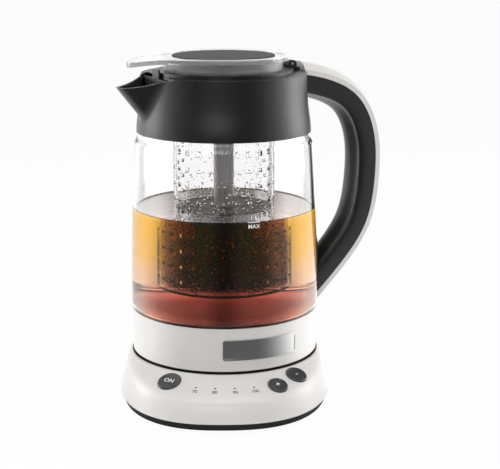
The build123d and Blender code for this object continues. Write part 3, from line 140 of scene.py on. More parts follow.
def ramp(tree, value, *stops):
    """A colour by a value, through stops of (value, colour)."""
    node = tree.nodes.new("ShaderNodeValToRGB")
    marks = node.color_ramp.elements
    for place, colour in stops[1:-1]:
        marks.new(place)
    for mark, (place, colour) in zip(marks, stops):
        mark.position = place
        mark.color = (*colour, 1)
    tree.links.new(value, node.inputs["Fac"])
    return node.outputs["Color"]


def surface_coordinates(tree):
    """An object's own coordinates, in metres."""
    return tree.nodes.new("ShaderNodeTexCoord").outputs["Object"]


def round_coordinates(tree, along):
    """Coordinates that run round the vertical axis: the bearing's length is shrunk by `along`."""
    split = tree.nodes.new("ShaderNodeSeparateXYZ")
    tree.links.new(surface_coordinates(tree), split.inputs[0])
    bearing = reckon(tree, "ARCTAN2", split.outputs["Y"], split.outputs["X"])
    join = tree.nodes.new("ShaderNodeCombineXYZ")
    tree.links.new(reckon(tree, "MULTIPLY", bearing, along), join.inputs["X"])
    tree.links.new(split.outputs["Z"], join.inputs["Z"])
    return join.outputs[0]


def speckle(tree, vector, scale, detail=2.0):
    """A noise texture at `scale` cells a metre."""
    node = tree.nodes.new("ShaderNodeTexNoise")
    node.inputs["Scale"].default_value = scale
    node.inputs["Detail"].default_value = detail
    tree.links.new(vector, node.inputs["Vector"])
    return node.outputs["Fac"]


def between(tree, value, low, high):
    """A value from 0.3 to 0.7 mapped to the range low to high."""
    return step(tree, value, 0.3, 0.7, low, high, "LINEAR")


def tinted(tree, value, dark, light):
    """A colour between two, by a value from 0.3 to 0.7."""
    return ramp(tree, value, (0.3, dark), (0.7, light))


def outlet(tree):
    """A material's output node."""
    return [n for n in tree.nodes if n.type == "OUTPUT_MATERIAL"][0]


def relief(tree, shader, height, strength, depth):
    """Gives a shader a relief, `depth` mm deep."""
    bump = tree.nodes.new("ShaderNodeBump")
    bump.inputs["Strength"].default_value = strength
    bump.inputs["Distance"].default_value = depth * MM
    tree.links.new(height, bump.inputs["Height"])
    tree.links.new(bump.outputs["Normal"], shader.inputs["Normal"])


def absorb(tree, colour, density):
    """Gives a material's inside a plain absorption."""
    depth = tree.nodes.new("ShaderNodeVolumeAbsorption")
    depth.inputs["Color"].default_value = (*colour, 1)
    depth.inputs["Density"].default_value = density
    tree.links.new(depth.outputs["Volume"], outlet(tree).inputs["Volume"])


def finish(name, colour, rough, tone=0.05, grain=900.0, bump=0.05, depth=0.02, patch=70.0,
           lines=None, **fixed):
    """An opaque finish: slow patches of tone, a fine grain in the gloss, and a fine relief."""
    mat, tree, shader = bare(name)
    for socket, value in fixed.items():
        shader.inputs[socket.replace("_", " ")].default_value = value
    plain = surface_coordinates(tree)
    fine = round_coordinates(tree, lines) if lines else plain
    dark = [c * (1 - tone) for c in colour]
    light = [min(1, c * (1 + tone)) for c in colour]
    slow = speckle(tree, plain, patch, 1.0)
    quick = speckle(tree, fine, grain, 3.0)
    mean = reckon(tree, "MULTIPLY_ADD", quick, 0.5, reckon(tree, "MULTIPLY", slow, 0.5))
    tree.links.new(tinted(tree, mean, dark, light), shader.inputs["Base Color"])
    tree.links.new(between(tree, quick, rough * 0.9, rough * 1.1), shader.inputs["Roughness"])
    relief(tree, shader, quick, bump, depth)
    return mat


def clear(name, colour, ior, rough, waves, patch=40.0, clarity=1.0):
    """A clear glass or plastic, with faint waves in its surface."""
    mat, tree, shader = bare(name)
    shader.inputs["Transmission Weight"].default_value = clarity
    shader.inputs["IOR"].default_value = ior
    coords = surface_coordinates(tree)
    swell = speckle(tree, coords, patch, 1.0)
    dark = [c * 0.99 for c in colour]
    light = [min(1, c * 1.01) for c in colour]
    tree.links.new(tinted(tree, swell, dark, light), shader.inputs["Base Color"])
    tree.links.new(between(tree, swell, rough * 0.8, rough * 1.2), shader.inputs["Roughness"])
    relief(tree, shader, swell, waves, 0.1)
    return mat


silver = finish("silver_paint", (0.74, 0.72, 0.70), 0.36, tone=0.015, grain=2600, bump=0.04,
                Metallic=0.05)
steel_round = finish("brushed_steel_round", (0.80, 0.78, 0.76), 0.34, tone=0.03, grain=2400,
                     bump=0.12, depth=0.03, lines=0.0012, Metallic=0.2)
steel_plate = finish("satin_steel", (0.74, 0.735, 0.73), 0.3, tone=0.03, grain=1800, bump=0.06,
                     Metallic=1.0)
black = finish("black_plastic", (0.009, 0.0085, 0.0095), 0.38, tone=0.12, grain=1900, bump=0.1,
               depth=0.03, IOR=1.6)
tray_black = finish("tray_plastic", (0.022, 0.022, 0.023), 0.5, tone=0.1, grain=1400, bump=0.15)
grey = finish("grey_plastic", (0.28, 0.28, 0.30), 0.35, tone=0.06, grain=1200, bump=0.06)
button = finish("button_plastic", (0.05, 0.05, 0.053), 0.16, tone=0.08, grain=900, bump=0.02,
                Coat_Weight=0.6, Coat_Roughness=0.06)
rubber = finish("rubber", (0.028, 0.028, 0.028), 0.75, tone=0.15, grain=800, bump=0.2)
seal = finish("seal_rubber", (0.02, 0.02, 0.02), 0.5, tone=0.1, grain=700, bump=0.1)
aluminium = finish("cast_aluminium", (0.74, 0.74, 0.74), 0.45, tone=0.06, grain=500, bump=0.2,
                   Metallic=1.0)
plain_steel = finish("plain_steel", (0.60, 0.60, 0.60), 0.3, tone=0.04, grain=900, bump=0.05,
                     Metallic=1.0)
brass = finish("brass", (0.78, 0.58, 0.26), 0.28, tone=0.06, grain=900, bump=0.05, Metallic=1.0)
board = finish("circuit_board", (0.03, 0.16, 0.07), 0.35, tone=0.15, grain=300, bump=0.05)
glass = clear("jug_glass", (0.99, 0.99, 0.99), 1.47, 0.002, 0.05)
absorb(glass.node_tree, (0.47, 0.44, 0.42), 70.0)
plastic = clear("clear_plastic", (0.955, 0.95, 0.95), 1.45, 0.03, 0.1)
lid_plastic = clear("lid_plastic", (0.90, 0.885, 0.90), 1.48, 0.06, 0.08, clarity=0.72)
skirt_plastic = clear("frosted_plastic", (0.72, 0.71, 0.73), 1.45, 0.3, 0.1, clarity=0.85)
lid_inlay = finish("lid_inlay", (0.030, 0.033, 0.035), 0.5, tone=0.2, grain=600,
                   bump=0.05, Specular_IOR_Level=0.08)
basket_plastic = clear("basket_plastic", (0.97, 0.965, 0.97), 1.2, 0.03, 0.1)
stem_plastic = clear("stem_plastic", (0.82, 0.80, 0.81), 1.45, 0.12, 0.08, clarity=0.6)
filter_dark = finish("filter_plastic", (0.05, 0.048, 0.05), 0.4, tone=0.1, grain=1200, bump=0.06)
pale_seal = clear("clear_silicone", (0.95, 0.90, 0.88), 1.41, 0.2, 0.1)
ink = finish("mark_ink", (0.06, 0.06, 0.065), 0.5, tone=0.1, grain=2000, bump=0.02)
white_ink = finish("white_ink", (0.86, 0.86, 0.86), 0.5, tone=0.02, grain=2000, bump=0.02)


def jug_floor():
    """Steel floor of the jug: painted shade in its middle, under the basket, and bright at its rim.
    """
    mat, tree, shader = bare("jug_floor")
    coords = surface_coordinates(tree)
    flat = tree.nodes.new("ShaderNodeVectorMath")
    flat.operation = "MULTIPLY"
    flat.inputs[1].default_value = (1, 1, 0)
    tree.links.new(coords, flat.inputs[0])
    reach = tree.nodes.new("ShaderNodeVectorMath")
    reach.operation = "LENGTH"
    tree.links.new(flat.outputs[0], reach.inputs[0])
    place = step(tree, reach.outputs["Value"], 0.0, FLOOR_SHADE_R * MM, 0.0, 1.0, "LINEAR")
    # Painted shade: nearly black in the middle under the basket, with a painted dark reflection of
    # the basket's bottom; bright steel at the rim.
    stops = ((0.15, (0.008, 0.003, 0.003)), (0.55, (0.17, 0.08, 0.08)), (0.9, (0.98, 0.86, 0.90)))
    tree.links.new(ramp(tree, place, *stops), shader.inputs["Base Color"])
    shader.inputs["Metallic"].default_value = 1.0
    grain = speckle(tree, coords, 900)
    tree.links.new(between(tree, grain, 0.35, 0.45), shader.inputs["Roughness"])
    return mat


SLOTS = {
    "silver_plastic": silver, "brushed_steel": steel_round, "black_plastic": black,
    "grey_plastic": grey, "button_plastic": button, "glass": glass, "clear_plastic": plastic,
    "rubber": rubber, "seal": seal, "aluminium": aluminium, "steel": plain_steel,
    "brass": brass, "circuit_board": board,
}
OWN = {
    "base_tray": tray_black, "badge_plate": steel_plate, "cover_disc": lid_plastic,
    "cover_insert": lid_inlay, "infuser_skirt": skirt_plastic, "spout_filter": filter_dark,
    "infuser_basket": basket_plastic, "infuser_stem": stem_plastic, "floor_gasket": pale_seal,
    "vessel_floor": jug_floor(),
}
for row in frame["record"]["subparts"]:
    part = nodes[row["node"]]
    finish_of = OWN.get(row["node"], SLOTS[row["material_slot"]])
    part.data.materials.clear()
    part.data.materials.append(finish_of)


# ------------------------------------------------------------ shapes
def piece(name, points, faces, body, mat, slot=None, sharp=40.0, stands_for=()):
    """A mesh piece from points in mm, smooth but for edges sharper than `sharp` degrees."""
    mesh = bpy.data.meshes.new(name)
    mesh.from_pydata([Vector(p) * MM for p in points], [], faces)
    mesh.validate()
    mesh.update()
    mesh.materials.append(mat)
    mesh.shade_smooth()
    mesh.set_sharp_from_angle(angle=math.radians(sharp))
    made = bpy.data.objects.new(name, mesh)
    bpy.context.scene.collection.objects.link(made)
    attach(made, body)
    if stands_for:
        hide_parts(*stands_for)
    return made


def turned(section, steps=240):
    """Points and faces of a closed solid of revolution, from its section as (radius, height) pairs.
    A section that starts and ends on the axis closes there."""
    points, faces, rows = [], [], []
    for r, z in section:
        if r < 1e-6:
            rows.append([len(points)] * steps)
            points.append((0, 0, z))
            continue
        rows.append(list(range(len(points), len(points) + steps)))
        for k in range(steps):
            a = 2 * math.pi * k / steps
            points.append((r * math.cos(a), r * math.sin(a), z))
    pairs = list(zip(rows, rows[1:]))
    if section[0][0] > 1e-6:
        pairs.append((rows[-1], rows[0]))
    for low, high in pairs:
        for k in range(steps):
            n = (k + 1) % steps
            corners = [low[k], low[n], high[n], high[k]]
            faces.append([c for i, c in enumerate(corners) if c not in corners[:i]])
    return points, faces


def three_point_arc(a, b, c, count):
    """Points on the circle through a, b and c, from a to c."""
    (ax, ay), (bx, by), (cx, cy) = a, b, c
    d = 2 * (ax * (by - cy) + bx * (cy - ay) + cx * (ay - by))
    sa, sb, sc = ax * ax + ay * ay, bx * bx + by * by, cx * cx + cy * cy
    ox = (sa * (by - cy) + sb * (cy - ay) + sc * (ay - by)) / d
    oy = (sa * (cx - bx) + sb * (ax - cx) + sc * (bx - ax)) / d
    r = math.hypot(ax - ox, ay - oy)
    start, end = math.atan2(ay - oy, ax - ox), math.atan2(cy - oy, cx - ox)
    return [(ox + r * math.cos(start + (end - start) * i / count),
             oy + r * math.sin(start + (end - start) * i / count)) for i in range(count + 1)]


def hermite(a, ta, b, tb, count):
    """Points of a cubic from a to b, with the tangents ta and tb."""
    found = []
    for i in range(1, count + 1):
        t = i / count
        h = (2 * t**3 - 3 * t**2 + 1, t**3 - 2 * t**2 + t, -2 * t**3 + 3 * t**2, t**3 - t**2)
        found.append(tuple(h[0] * a[k] + h[1] * ta[k] + h[2] * b[k] + h[3] * tb[k] for k in (0, 1)))
    return found


# ------------------------------------------------------------ glass and tea
SHOULDER = GLASS_TOP - GLASS_LIP
MIDDLE = (GLASS_BOTTOM + SHOULDER) / 2
outside = three_point_arc((GLASS_OUTSIDE[0], GLASS_BOTTOM), (GLASS_OUTSIDE[1], MIDDLE),
                          (GLASS_OUTSIDE[2], SHOULDER), 40)
inside = three_point_arc((GLASS_OUTSIDE[0] - GLASS_WALL, GLASS_BOTTOM),
                         (GLASS_OUTSIDE[1] - GLASS_WALL, MIDDLE),
                         (GLASS_OUTSIDE[2] - GLASS_WALL, SHOULDER), 40)
neck_at = (GLASS_NECK_R, SHOULDER + GLASS_LIP / 2)
bead_at = (GLASS_BEAD_R, GLASS_TOP - GLASS_LIP / 5)
lip_at = (GLASS_BEAD_R - 0.8, GLASS_TOP)
neck = hermite(outside[-1], (-0.5, 7.0), neck_at, (-0.4, 5.0), 8)
neck += hermite(neck_at, (-0.2, 3.6), bead_at, (0.0, 3.4), 8)
neck += hermite(bead_at, (0.0, 2.4), lip_at, (-2.4, 0.2), 8)
throat = hermite((GLASS_MOUTH_R, GLASS_TOP - GLASS_LIP / 2), (0, -5), inside[-1], (0.5, -7), 8)
mouth = [(GLASS_MOUTH_R + 0.4, GLASS_TOP), (GLASS_MOUTH_R, GLASS_TOP - 0.5),
         (GLASS_MOUTH_R, GLASS_TOP - GLASS_LIP / 2)]
glass_section = outside + neck + mouth + throat[:-1] + inside[::-1]
piece("glass_body", *turned(glass_section), "jug", glass, "glass", stands_for=["glass_vessel"])


def inside_r(z):
    """The glass's inside radius at a height."""
    for (r0, z0), (r1, z1) in zip(inside, inside[1:]):
        if z0 <= z <= z1:
            return r0 + (r1 - r0) * (z - z0) / (z1 - z0)
    return inside[0][0]


def liquid(name):
    """Tea: golden near its top and rosy low down, with a painted reflection on its top, and browner
    the more of it lies in the way.
    """
    mat, tree, shader = bare(name)
    shader.inputs["Transmission Weight"].default_value = 1.0
    shader.inputs["IOR"].default_value = 1.33
    shader.inputs["Roughness"].default_value = 0.0
    coords = surface_coordinates(tree)
    split = tree.nodes.new("ShaderNodeSeparateXYZ")
    tree.links.new(coords, split.inputs[0])
    height = step(tree, split.outputs["Z"], TEA_TINT_LOW * MM, TEA_LEVEL * MM, 0.0, 1.0, "LINEAR")
    # The last stop, near white, is a painted reflection on the tea's top surface.
    stops = ((0.0, (0.92, 0.80, 0.78)), (0.28, (0.97, 0.74, 0.53)), (0.62, (0.99, 0.67, 0.045)),
             (0.97, (1.0, 0.71, 0.03)), (1.0, (0.95, 0.93, 0.92)))
    tree.links.new(ramp(tree, height, *stops), shader.inputs["Base Color"])
    relief(tree, shader, speckle(tree, coords, 30, 1.0), 0.05, 0.2)
    absorb(tree, (0.975, 0.72, 0.55), 11.0)
    return mat


def brew_and_shade_volume(name, colour, density):
    """A darker inside with no surface of its own, for stronger brew and for painted shade in the
    tea.
    """
    mat, tree, shader = bare(name)
    absorb(tree, colour, density)
    tree.nodes.remove(shader)
    return mat


tea = liquid("tea")
tea_bottom = RING_TOP - TEA_SINK
tea_foot = GLASS_BOTTOM + TEA_SKIN
tea_wall = inside_r(TEA_LEVEL)
tea_section = [(0, tea_bottom), (GASKET_INSIDE_R, tea_bottom), (GASKET_INSIDE_R, tea_foot),
               (GASKET_LIP_R, tea_foot), (GASKET_LIP_R, GASKET_LIP_TOP),
               (inside_r(GASKET_LIP_TOP) + TEA_SKIN, GASKET_LIP_TOP + 0.3)]
tea_section += [(inside_r(z) + TEA_SKIN, z) for z in range(70, 139, 4)]
tea_section += [(tea_wall + TEA_SKIN, TEA_LEVEL + 0.9), (tea_wall - 0.5, TEA_LEVEL + 0.35),
                (tea_wall - 1.4, TEA_LEVEL + 0.1), (tea_wall - 3.0, TEA_LEVEL), (0, TEA_LEVEL)]
piece("tea_liquid", *turned(tea_section), "jug", tea)

# Painted shade: a darker, redder volume in the tea under the basket, where the basket shades it.
shade_bottom = RING_TOP + 0.2
shade_section = [(0, shade_bottom), (SHADE_UNDER_R, shade_bottom), (SHADE_UNDER_R, SHADE_UNDER_TOP),
                 (0, BASKET_FLOOR - 2.0)]
painted_shade_under_basket = brew_and_shade_volume("painted_shade_under_basket", (0.97, 0.5, 0.5), 30.0)
piece("painted_shade_in_tea", *turned(shade_section, 96), "jug", painted_shade_under_basket)

brew_r = BASKET_INSIDE_R - 0.3
brew_low = BASKET_FLOOR + 0.2
brew_high = TEA_LEVEL - 0.3
within_section = [(0, brew_low), (brew_r, brew_low), (brew_r, brew_high), (0, brew_high)]
brew_within = brew_and_shade_volume("brew_within", (0.55, 0.175, 0.175), 80.0)
piece("tea_in_infuser", *turned(within_section, 96), "jug", brew_within)


def leaf_finish(name, dark, light, rough):
    """Wet tea leaf."""
    mat, tree, shader = bare(name)
    shader.inputs["Roughness"].default_value = rough
    shader.inputs["Specular IOR Level"].default_value = 0.15
    coords = surface_coordinates(tree)
    tone = tinted(tree, speckle(tree, coords, 260, 2.0), dark, light)
    tree.links.new(tone, shader.inputs["Base Color"])
    relief(tree, shader, speckle(tree, coords, 1500, 2.0), 0.4, 0.1)
    return mat


def leaves(count, seed, inner_r, outer_r, low, high, size):
    """Curled leaf bits, loose in the basket between two heights."""
    draw = random.Random(seed)
    points, faces = [], []
    while len(faces) < 2 * count:
        r = math.sqrt(draw.uniform(inner_r**2, outer_r**2))
        a = draw.uniform(0, 2 * math.pi)
        z = draw.uniform(low, high)
        long = draw.uniform(0.5, 1.0) * size
        wide = draw.uniform(0.2, 0.4) * size
        curl = draw.uniform(-0.9, 0.9)
        turn = Matrix.Rotation(draw.uniform(0, FULL_TURN), 3, "Z")
        turn = turn @ Matrix.Rotation(draw.uniform(0, HALF_TURN), 3, "X")
        turn = turn @ Matrix.Rotation(draw.uniform(0, FULL_TURN), 3, "Z")
        middle = Vector((r * math.cos(a), r * math.sin(a), z))
        first = len(points)
        for s, share in ((-0.5, 0.35), (0.0, 1.0), (0.5, 0.25)):
            for side in (-0.5, 0.5):
                own = Vector((s * long, side * wide * share, curl * (1 - 4 * s * s) * 0.6))
                at = middle + turn @ own
                at.z = min(max(at.z, BASKET_FLOOR + 0.3), high)
                reach = math.hypot(at.x, at.y)
                if reach > BASKET_INSIDE_R - 0.3:
                    at.x *= (BASKET_INSIDE_R - 0.3) / reach
                    at.y *= (BASKET_INSIDE_R - 0.3) / reach
                points.append(at)
        faces.append([first, first + 1, first + 3, first + 2])
        faces.append([first + 2, first + 3, first + 5, first + 4])
    return points, faces


def heap(radius, low, high):
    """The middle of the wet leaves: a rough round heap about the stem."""
    rows = int((high - low) / 2) - 1
    points, faces = turned([(STEM_R + 0.3, low), (radius, low + 0.5)]
                           + [(radius, low + 2.0 + i * 2.0) for i in range(rows)]
                           + [(radius - 1.0, high - 0.6), (STEM_R + 0.3, high)], 120)
    rough = []
    for x, y, z in points:
        if math.hypot(x, y) > STEM_R + 1:
            spot = Vector((x, y, z))
            swell = 1 + 0.16 * noise.noise(spot * 0.11) + 0.06 * noise.noise(spot * 0.45)
            x, y = x * swell, y * swell
        rough.append((x, y, z))
    return rough, faces


leaf_dark = leaf_finish("tea_leaf_dark", (0.010, 0.003, 0.002), (0.05, 0.014, 0.005), 0.45)
leaf_brown = leaf_finish("tea_leaf_brown", (0.09, 0.015, 0.004), (0.50, 0.11, 0.012), 0.4)
# A gold finish: partly a lighter leaf colour, partly a painted highlight that stands for glints.
leaf_gold_glint = leaf_finish("tea_leaf_gold_glint", (0.75, 0.36, 0.07), (1.0, 0.72, 0.25), 0.3)
leaf_heap = heap(HEAP_R, BASKET_FLOOR + 0.3, LEAF_TOP - 1.5)
piece("leaf_heap", *leaf_heap, "infuser", leaf_dark, sharp=80)
dark_leaves = leaves(2200, 7, 14.0, 24.0, LEAF_LOW, LEAF_TOP, 3.6)
piece("tea_leaves", *dark_leaves, "infuser", leaf_dark, sharp=80)
brown_leaves = leaves(1050, 8, 15.0, 33.5, LEAF_LOW, LEAF_TOP, 3.4)
piece("tea_leaves_brown", *brown_leaves, "infuser", leaf_brown, sharp=80)

froth = leaf_finish("tea_froth", (0.07, 0.045, 0.035), (0.30, 0.24, 0.20), 0.5)
froth_section = [(STEM_R + 0.4, TEA_LEVEL - 0.6), (BASKET_INSIDE_R - 0.4, TEA_LEVEL - 0.6),
                 (BASKET_INSIDE_R - 0.4, TEA_LEVEL + 0.3), (STEM_R + 0.4, TEA_LEVEL + 0.3)]
piece("tea_froth", *turned(froth_section, 96), "infuser", froth)

low_leaves = leaves(1500, 10, 3.0, 34.6, LEAF_LOW - 0.6, LEAF_LOW + 4.0, 3.4)
piece("tea_leaves_low", *low_leaves, "infuser", leaf_dark, sharp=80)
# Golden leaves near the outside: partly the leaves' own lighter colour, partly painted highlights
# that stand for glints.
gold_glint_leaves = leaves(700, 9, 24.0, 34.5, LEAF_LOW, LEAF_TOP, 2.2)
piece("tea_leaves_gold_glint", *gold_glint_leaves, "infuser", leaf_gold_glint, sharp=80)


def droplets(count, seed, rings=4, sides=8):
    """Drops that cling to the inside of the basket above the tea, close together near the tea."""
    draw = random.Random(seed)
    points, faces = [], []
    for _ in range(count):
        bearing = draw.uniform(0, 2 * math.pi)
        z = TEA_LEVEL + 0.8 + DROP_ZONE * draw.random() ** 2.2
        size = draw.uniform(0.35, 0.95)
        first = len(points)
        for ring in range(rings + 1):
            lean = math.pi * ring / rings
            r = BASKET_INSIDE_R - 0.15 - 0.55 * size * (1 + math.cos(lean))
            for k in range(sides):
                turn = 2 * math.pi * k / sides
                at = bearing + size * math.sin(lean) * math.cos(turn) / BASKET_INSIDE_R
                up = size * math.sin(lean) * math.sin(turn)
                points.append((r * math.cos(at), r * math.sin(at), z + up))
        for ring in range(rings):
            low = first + sides * ring
            high = low + sides
            for k in range(sides):
                n = (k + 1) % sides
                faces.append([low + k, low + n, high + n, high + k])
    return points, faces


water = clear("water", (0.97, 0.97, 0.97), 1.33, 0.01, 0.02, patch=400.0)
piece("basket_drops", *droplets(420, 12), "infuser", water, sharp=120)


# ------------------------------------------------------------ marks
def letters(name, text, height, place, body, mat):
    """Flat lettering. `place` takes a letter's point, in mm, to its place on the surface."""
    curve = bpy.data.curves.new(name, "FONT")
    curve.body = text
    curve.size = height * LETTER_SIZE
    curve.align_x = "CENTER"
    curve.align_y = "CENTER"
    curve.offset = LETTER_WEIGHT * height
    helper = bpy.data.objects.new(name + "_outline", curve)
    bpy.context.scene.collection.objects.link(helper)
    flat = bpy.data.meshes.new_from_object(helper)
    points = [place(v.co.x, v.co.y) for v in flat.vertices]
    faces = [list(p.vertices) for p in flat.polygons]
    bpy.data.objects.remove(helper)
    return piece(name, points, faces, body, mat)


def strip(width, height, steps=12):
    """A flat bar as a row of quads."""
    points, faces = [], []
    for i in range(steps + 1):
        for y in (-height / 2, height / 2):
            points.append((-width / 2 + width * i / steps, y))
        if i:
            faces.append([2 * i - 2, 2 * i, 2 * i + 1, 2 * i - 1])
    return points, faces


def on_glass(z):
    """Places a mark on the glass's outside, centred at height z."""
    outer = [p for p in outside if p[1] <= z][-1][0]

    def place(x, y):
        a = math.radians(MARK_BEARING) + x / outer
        reach = outer + GLASS_INK
        return (reach * math.cos(a), reach * math.sin(a), z + y)
    return place


letters("mark_litre", "1 L", 3.3, on_glass(TEA_LEVEL + 4.0), "jug", white_ink)
letters("mark_max", "MAX", 2.9, on_glass(TEA_LEVEL - 2.0), "jug", white_ink)
bar_points, bar_faces = strip(8.6, 0.55)
on_line = on_glass(TEA_LEVEL + 1.0)
piece("mark_line", [on_line(x, y) for x, y in bar_points], bar_faces, "jug", white_ink)

cover_tree = BVHTree.FromPolygons([v.co.copy() for v in nodes["base_cover"].data.vertices],
                                  [list(p.vertices) for p in nodes["base_cover"].data.polygons])


def on_cover(ring_r, bearing):
    """Places a mark on the base's sloping front, read from the front."""
    a = math.radians(bearing)
    out = Vector((math.cos(a), math.sin(a), 0))
    right = Vector((-math.sin(a), math.cos(a), 0))

    def place(x, y):
        at = out * (ring_r - y * math.cos(math.radians(PANEL_TILT))) + right * x
        hit = cover_tree.ray_cast(Vector((at.x * MM, at.y * MM, 0.2)), Vector((0, 0, -1)))
        return (at.x, at.y, hit[0].z / MM + COVER_INK)
    return place


for number, (bearing, mark) in enumerate(zip(LAMP_BEARINGS, ("70", "80", "90", "100")), 1):
    letters(f"mark_lamp_{number}", mark, 2.6, on_cover(LAMP_RING_R + 3.6, bearing), "base", ink)


def on_button(node, ring_r, bearing):
    """Places a mark on a button's top."""
    a, tilt = math.radians(bearing), math.radians(PANEL_TILT)
    out = Vector((math.cos(a) * math.sin(tilt), math.sin(a) * math.sin(tilt), math.cos(tilt)))
    right = Vector((-math.sin(a), math.cos(a), 0))
    up = out.cross(right)
    foot_z = BASE_HEIGHT - (ring_r - RIM_R) * math.tan(tilt)
    foot = Vector((ring_r * math.cos(a), ring_r * math.sin(a), foot_z))
    top = max(v.co.dot(out) for v in nodes[node].data.vertices) / MM
    centre = foot + out * (top - foot.dot(out) + BUTTON_INK)

    def place(x, y):
        return centre + right * x + up * y
    return place


on_start = on_button("start_button", *START_BUTTON)
on_temperature = on_button("temperature_button", *TEMPERATURE_BUTTON)
on_warm = on_button("warm_button", *WARM_BUTTON)
letters("mark_start", "ON", 3.6, on_start, "start", white_ink)
letters("mark_warmer", "+", 4.6, on_temperature, "temperature", white_ink)
letters("mark_cooler", "-", 4.6, on_warm, "warm", white_ink)


# ------------------------------------------------------------ stage, light, camera
def rays(tree):
    """Whether the camera's ray asks, a mirrored one, one through glass, or any of these three."""
    path = tree.nodes.new("ShaderNodeLightPath")
    seen, through = path.outputs["Is Camera Ray"], path.outputs["Is Transmission Ray"]
    outside_glass = reckon(tree, "SUBTRACT", 1.0, through)
    mirrored = reckon(tree, "MULTIPLY", path.outputs["Is Glossy Ray"], outside_glass)
    named = reckon(tree, "MAXIMUM", seen, reckon(tree, "MAXIMUM", mirrored, through))
    return seen, mirrored, through, named


def studio(tree, way):
    """What gloss and glass see in a direction: bright at the sides, dark in front and behind.
    The direction's parts, from -1 to 1, come back too: X to the right, Y to the back, Z up."""
    split = tree.nodes.new("ShaderNodeSeparateXYZ")
    tree.links.new(way, split.inputs[0])
    sideways = step(tree, split.outputs["X"], -0.5, 0.5, LEFT_LIGHT, RIGHT_LIGHT)
    backwards = step(tree, split.outputs["Y"], -0.82, 0.15, 0.03, 1.0)
    gloss = reckon(tree, "MULTIPLY", backwards, sideways)
    # Through glass: dimmer towards the front, and a painted shadow and reflection of the kettle
    # straight behind it.
    aside = reckon(tree, "ABSOLUTE", split.outputs["X"])
    through = reckon(tree, "MULTIPLY", step(tree, aside, 0.0, 0.5, 0.03, 1.0),
                     step(tree, split.outputs["Y"], -0.1, 0.45, 0.2, 1.0))
    return gloss, through, split


def seen_strength(tree, seen, mirrored, inside_glass, gloss, through):
    """The strength that the eye, gloss and glass get: `seen`, or what `studio` gives."""
    strength = reckon(tree, "MULTIPLY_ADD", mirrored, gloss, seen)
    dimmed = reckon(tree, "MULTIPLY", through, THROUGH_LIGHT)
    return reckon(tree, "MULTIPLY_ADD", inside_glass, dimmed, strength)


def floor_finish():
    """A pale floor: white to the eye, what `studio` gives to gloss, and through glass a painted
    shadow of the kettle.
    """
    mat, tree, shader = bare("floor")
    coords = surface_coordinates(tree)
    tree.links.new(tinted(tree, speckle(tree, coords, 2.0), (0.88, 0.88, 0.88), (0.91, 0.91, 0.91)),
                   shader.inputs["Base Color"])
    shader.inputs["Roughness"].default_value = 0.8
    way = tree.nodes.new("ShaderNodeVectorMath")
    way.operation = "NORMALIZE"
    tree.links.new(coords, way.inputs[0])
    gloss, through, split = studio(tree, way.outputs[0])
    place = tree.nodes.new("ShaderNodeSeparateXYZ")
    tree.links.new(coords, place.inputs[0])
    # Through glass, the painted shadow and reflection of the kettle ends about half a metre behind
    # it; past that the floor is bright, except for a dimmer strip on each side.
    far = step(tree, place.outputs["Y"], 0.42, 0.54, 0.0, 1.0)
    aside = reckon(tree, "ABSOLUTE", split.outputs["X"])
    edge = reckon(tree, "MULTIPLY", step(tree, aside, 0.20, 0.27, 0.0, 0.8),
                  step(tree, aside, 0.35, 0.41, 1.0, 0.0))
    far = reckon(tree, "MULTIPLY", far, reckon(tree, "SUBTRACT", 1.0, edge))
    through = reckon(tree, "MAXIMUM", through, far)
    seen, mirrored, inside_glass, named = rays(tree)
    strength = seen_strength(tree, seen, mirrored, inside_glass, gloss, through)
    share = reckon(tree, "MULTIPLY", named, FLOOR_WHITE)
    white = tree.nodes.new("ShaderNodeEmission")
    tree.links.new(strength, white.inputs["Strength"])
    mix = tree.nodes.new("ShaderNodeMixShader")
    tree.links.new(share, mix.inputs["Fac"])
    tree.links.new(shader.outputs[0], mix.inputs[1])
    tree.links.new(white.outputs[0], mix.inputs[2])
    tree.links.new(mix.outputs[0], outlet(tree).inputs["Surface"])
    return mat


floor_mesh = bpy.data.meshes.new("floor")
floor_mesh.from_pydata([(-30, -6, 0), (30, -6, 0), (30, 60, 0), (-30, 60, 0)], [], [(0, 1, 2, 3)])
floor_mesh.materials.append(floor_finish())
floor = bpy.data.objects.new("floor", floor_mesh)
bpy.context.scene.collection.objects.link(floor)
floor.location.z = -FLOOR_DROP


def lamp(name, at, towards, wide, high, power):
    """A soft square lamp."""
    data = bpy.data.lights.new(name, "AREA")
    data.shape = "RECTANGLE"
    data.size, data.size_y, data.energy = wide, high, power
    made = bpy.data.objects.new(name, data)
    bpy.context.scene.collection.objects.link(made)
    made.location = at
    made.rotation_euler = (Vector(towards) - Vector(at)).to_track_quat("-Z", "Y").to_euler()


lamp("lamp_left", (-1.15, 0.3, 0.5), (0, 0, 0.12), 0.6, 1.2, 7.0)
lamp("lamp_right", (1.15, 0.35, 0.5), (0, 0, 0.12), 0.6, 1.2, 7.0)
lamp("lamp_above", (0.0, -0.25, 1.4), (0, 0, 0.1), 1.0, 0.7, 4.0)
lamp("lamp_front", (-0.25, -1.5, 0.85), (0, 0, 0.1), 0.9, 0.7, 5.5)


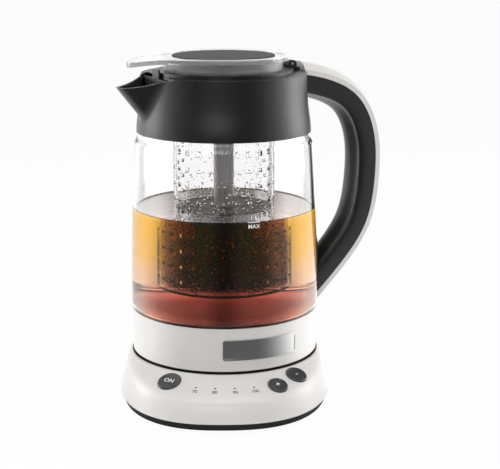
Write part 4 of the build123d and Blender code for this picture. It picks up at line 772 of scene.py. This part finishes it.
def world_light():
    """White to the eye, what `studio` gives to gloss and through glass, and soft to the rest."""
    world = bpy.data.worlds.new("studio")
    bpy.context.scene.world = world
    world.use_nodes = True
    tree = world.node_tree
    tree.nodes.clear()
    way = tree.nodes.new("ShaderNodeTexCoord")
    gloss, through, split = studio(tree, way.outputs["Generated"])
    gloss = reckon(tree, "MULTIPLY", gloss, step(tree, split.outputs["Z"], 0.2, 0.6, 1.0, 0.35))
    low_back = reckon(tree, "MULTIPLY", step(tree, split.outputs["Z"], 0.35, 0.5, 1.4, 0.0),
                      step(tree, split.outputs["Y"], 0.3, 0.7, 0.0, 1.0))
    above = reckon(tree, "MULTIPLY", reckon(tree, "ADD", low_back, 0.9),
                   step(tree, split.outputs["Z"], 0.05, 0.15, 0.0, 1.0))
    # Painted shade: a narrow dark band straight behind, seen only through the glass.
    aside = reckon(tree, "ABSOLUTE", split.outputs["X"])
    above = reckon(tree, "MULTIPLY", above, step(tree, aside, 0.035, 0.07, 0.3, 1.0))
    through = reckon(tree, "MAXIMUM", through, above)
    seen, mirrored, inside_glass, named = rays(tree)
    seen = reckon(tree, "MULTIPLY", seen, WORLD_WHITE)
    strength = seen_strength(tree, seen, mirrored, inside_glass, gloss, through)
    others = reckon(tree, "SUBTRACT", 1.0, named)
    strength = reckon(tree, "MULTIPLY_ADD", others, SOFT_LIGHT, strength)
    back = tree.nodes.new("ShaderNodeBackground")
    tree.links.new(strength, back.inputs["Strength"])
    out = tree.nodes.new("ShaderNodeOutputWorld")
    tree.links.new(back.outputs[0], out.inputs["Surface"])


world_light()

camera_data = bpy.data.cameras.new("camera")
camera_data.sensor_width = 36.0
camera_data.lens = CAMERA_LENS
camera_data.clip_start, camera_data.clip_end = 0.05, 100.0
camera = bpy.data.objects.new("camera", camera_data)
bpy.context.scene.collection.objects.link(camera)
camera.location = CAMERA_AT
camera.rotation_euler = (math.radians(90 - CAMERA_DOWN), 0.0, math.radians(CAMERA_ASIDE))
bpy.context.scene.camera = camera
bpy.context.scene.view_settings.view_transform = "Standard"
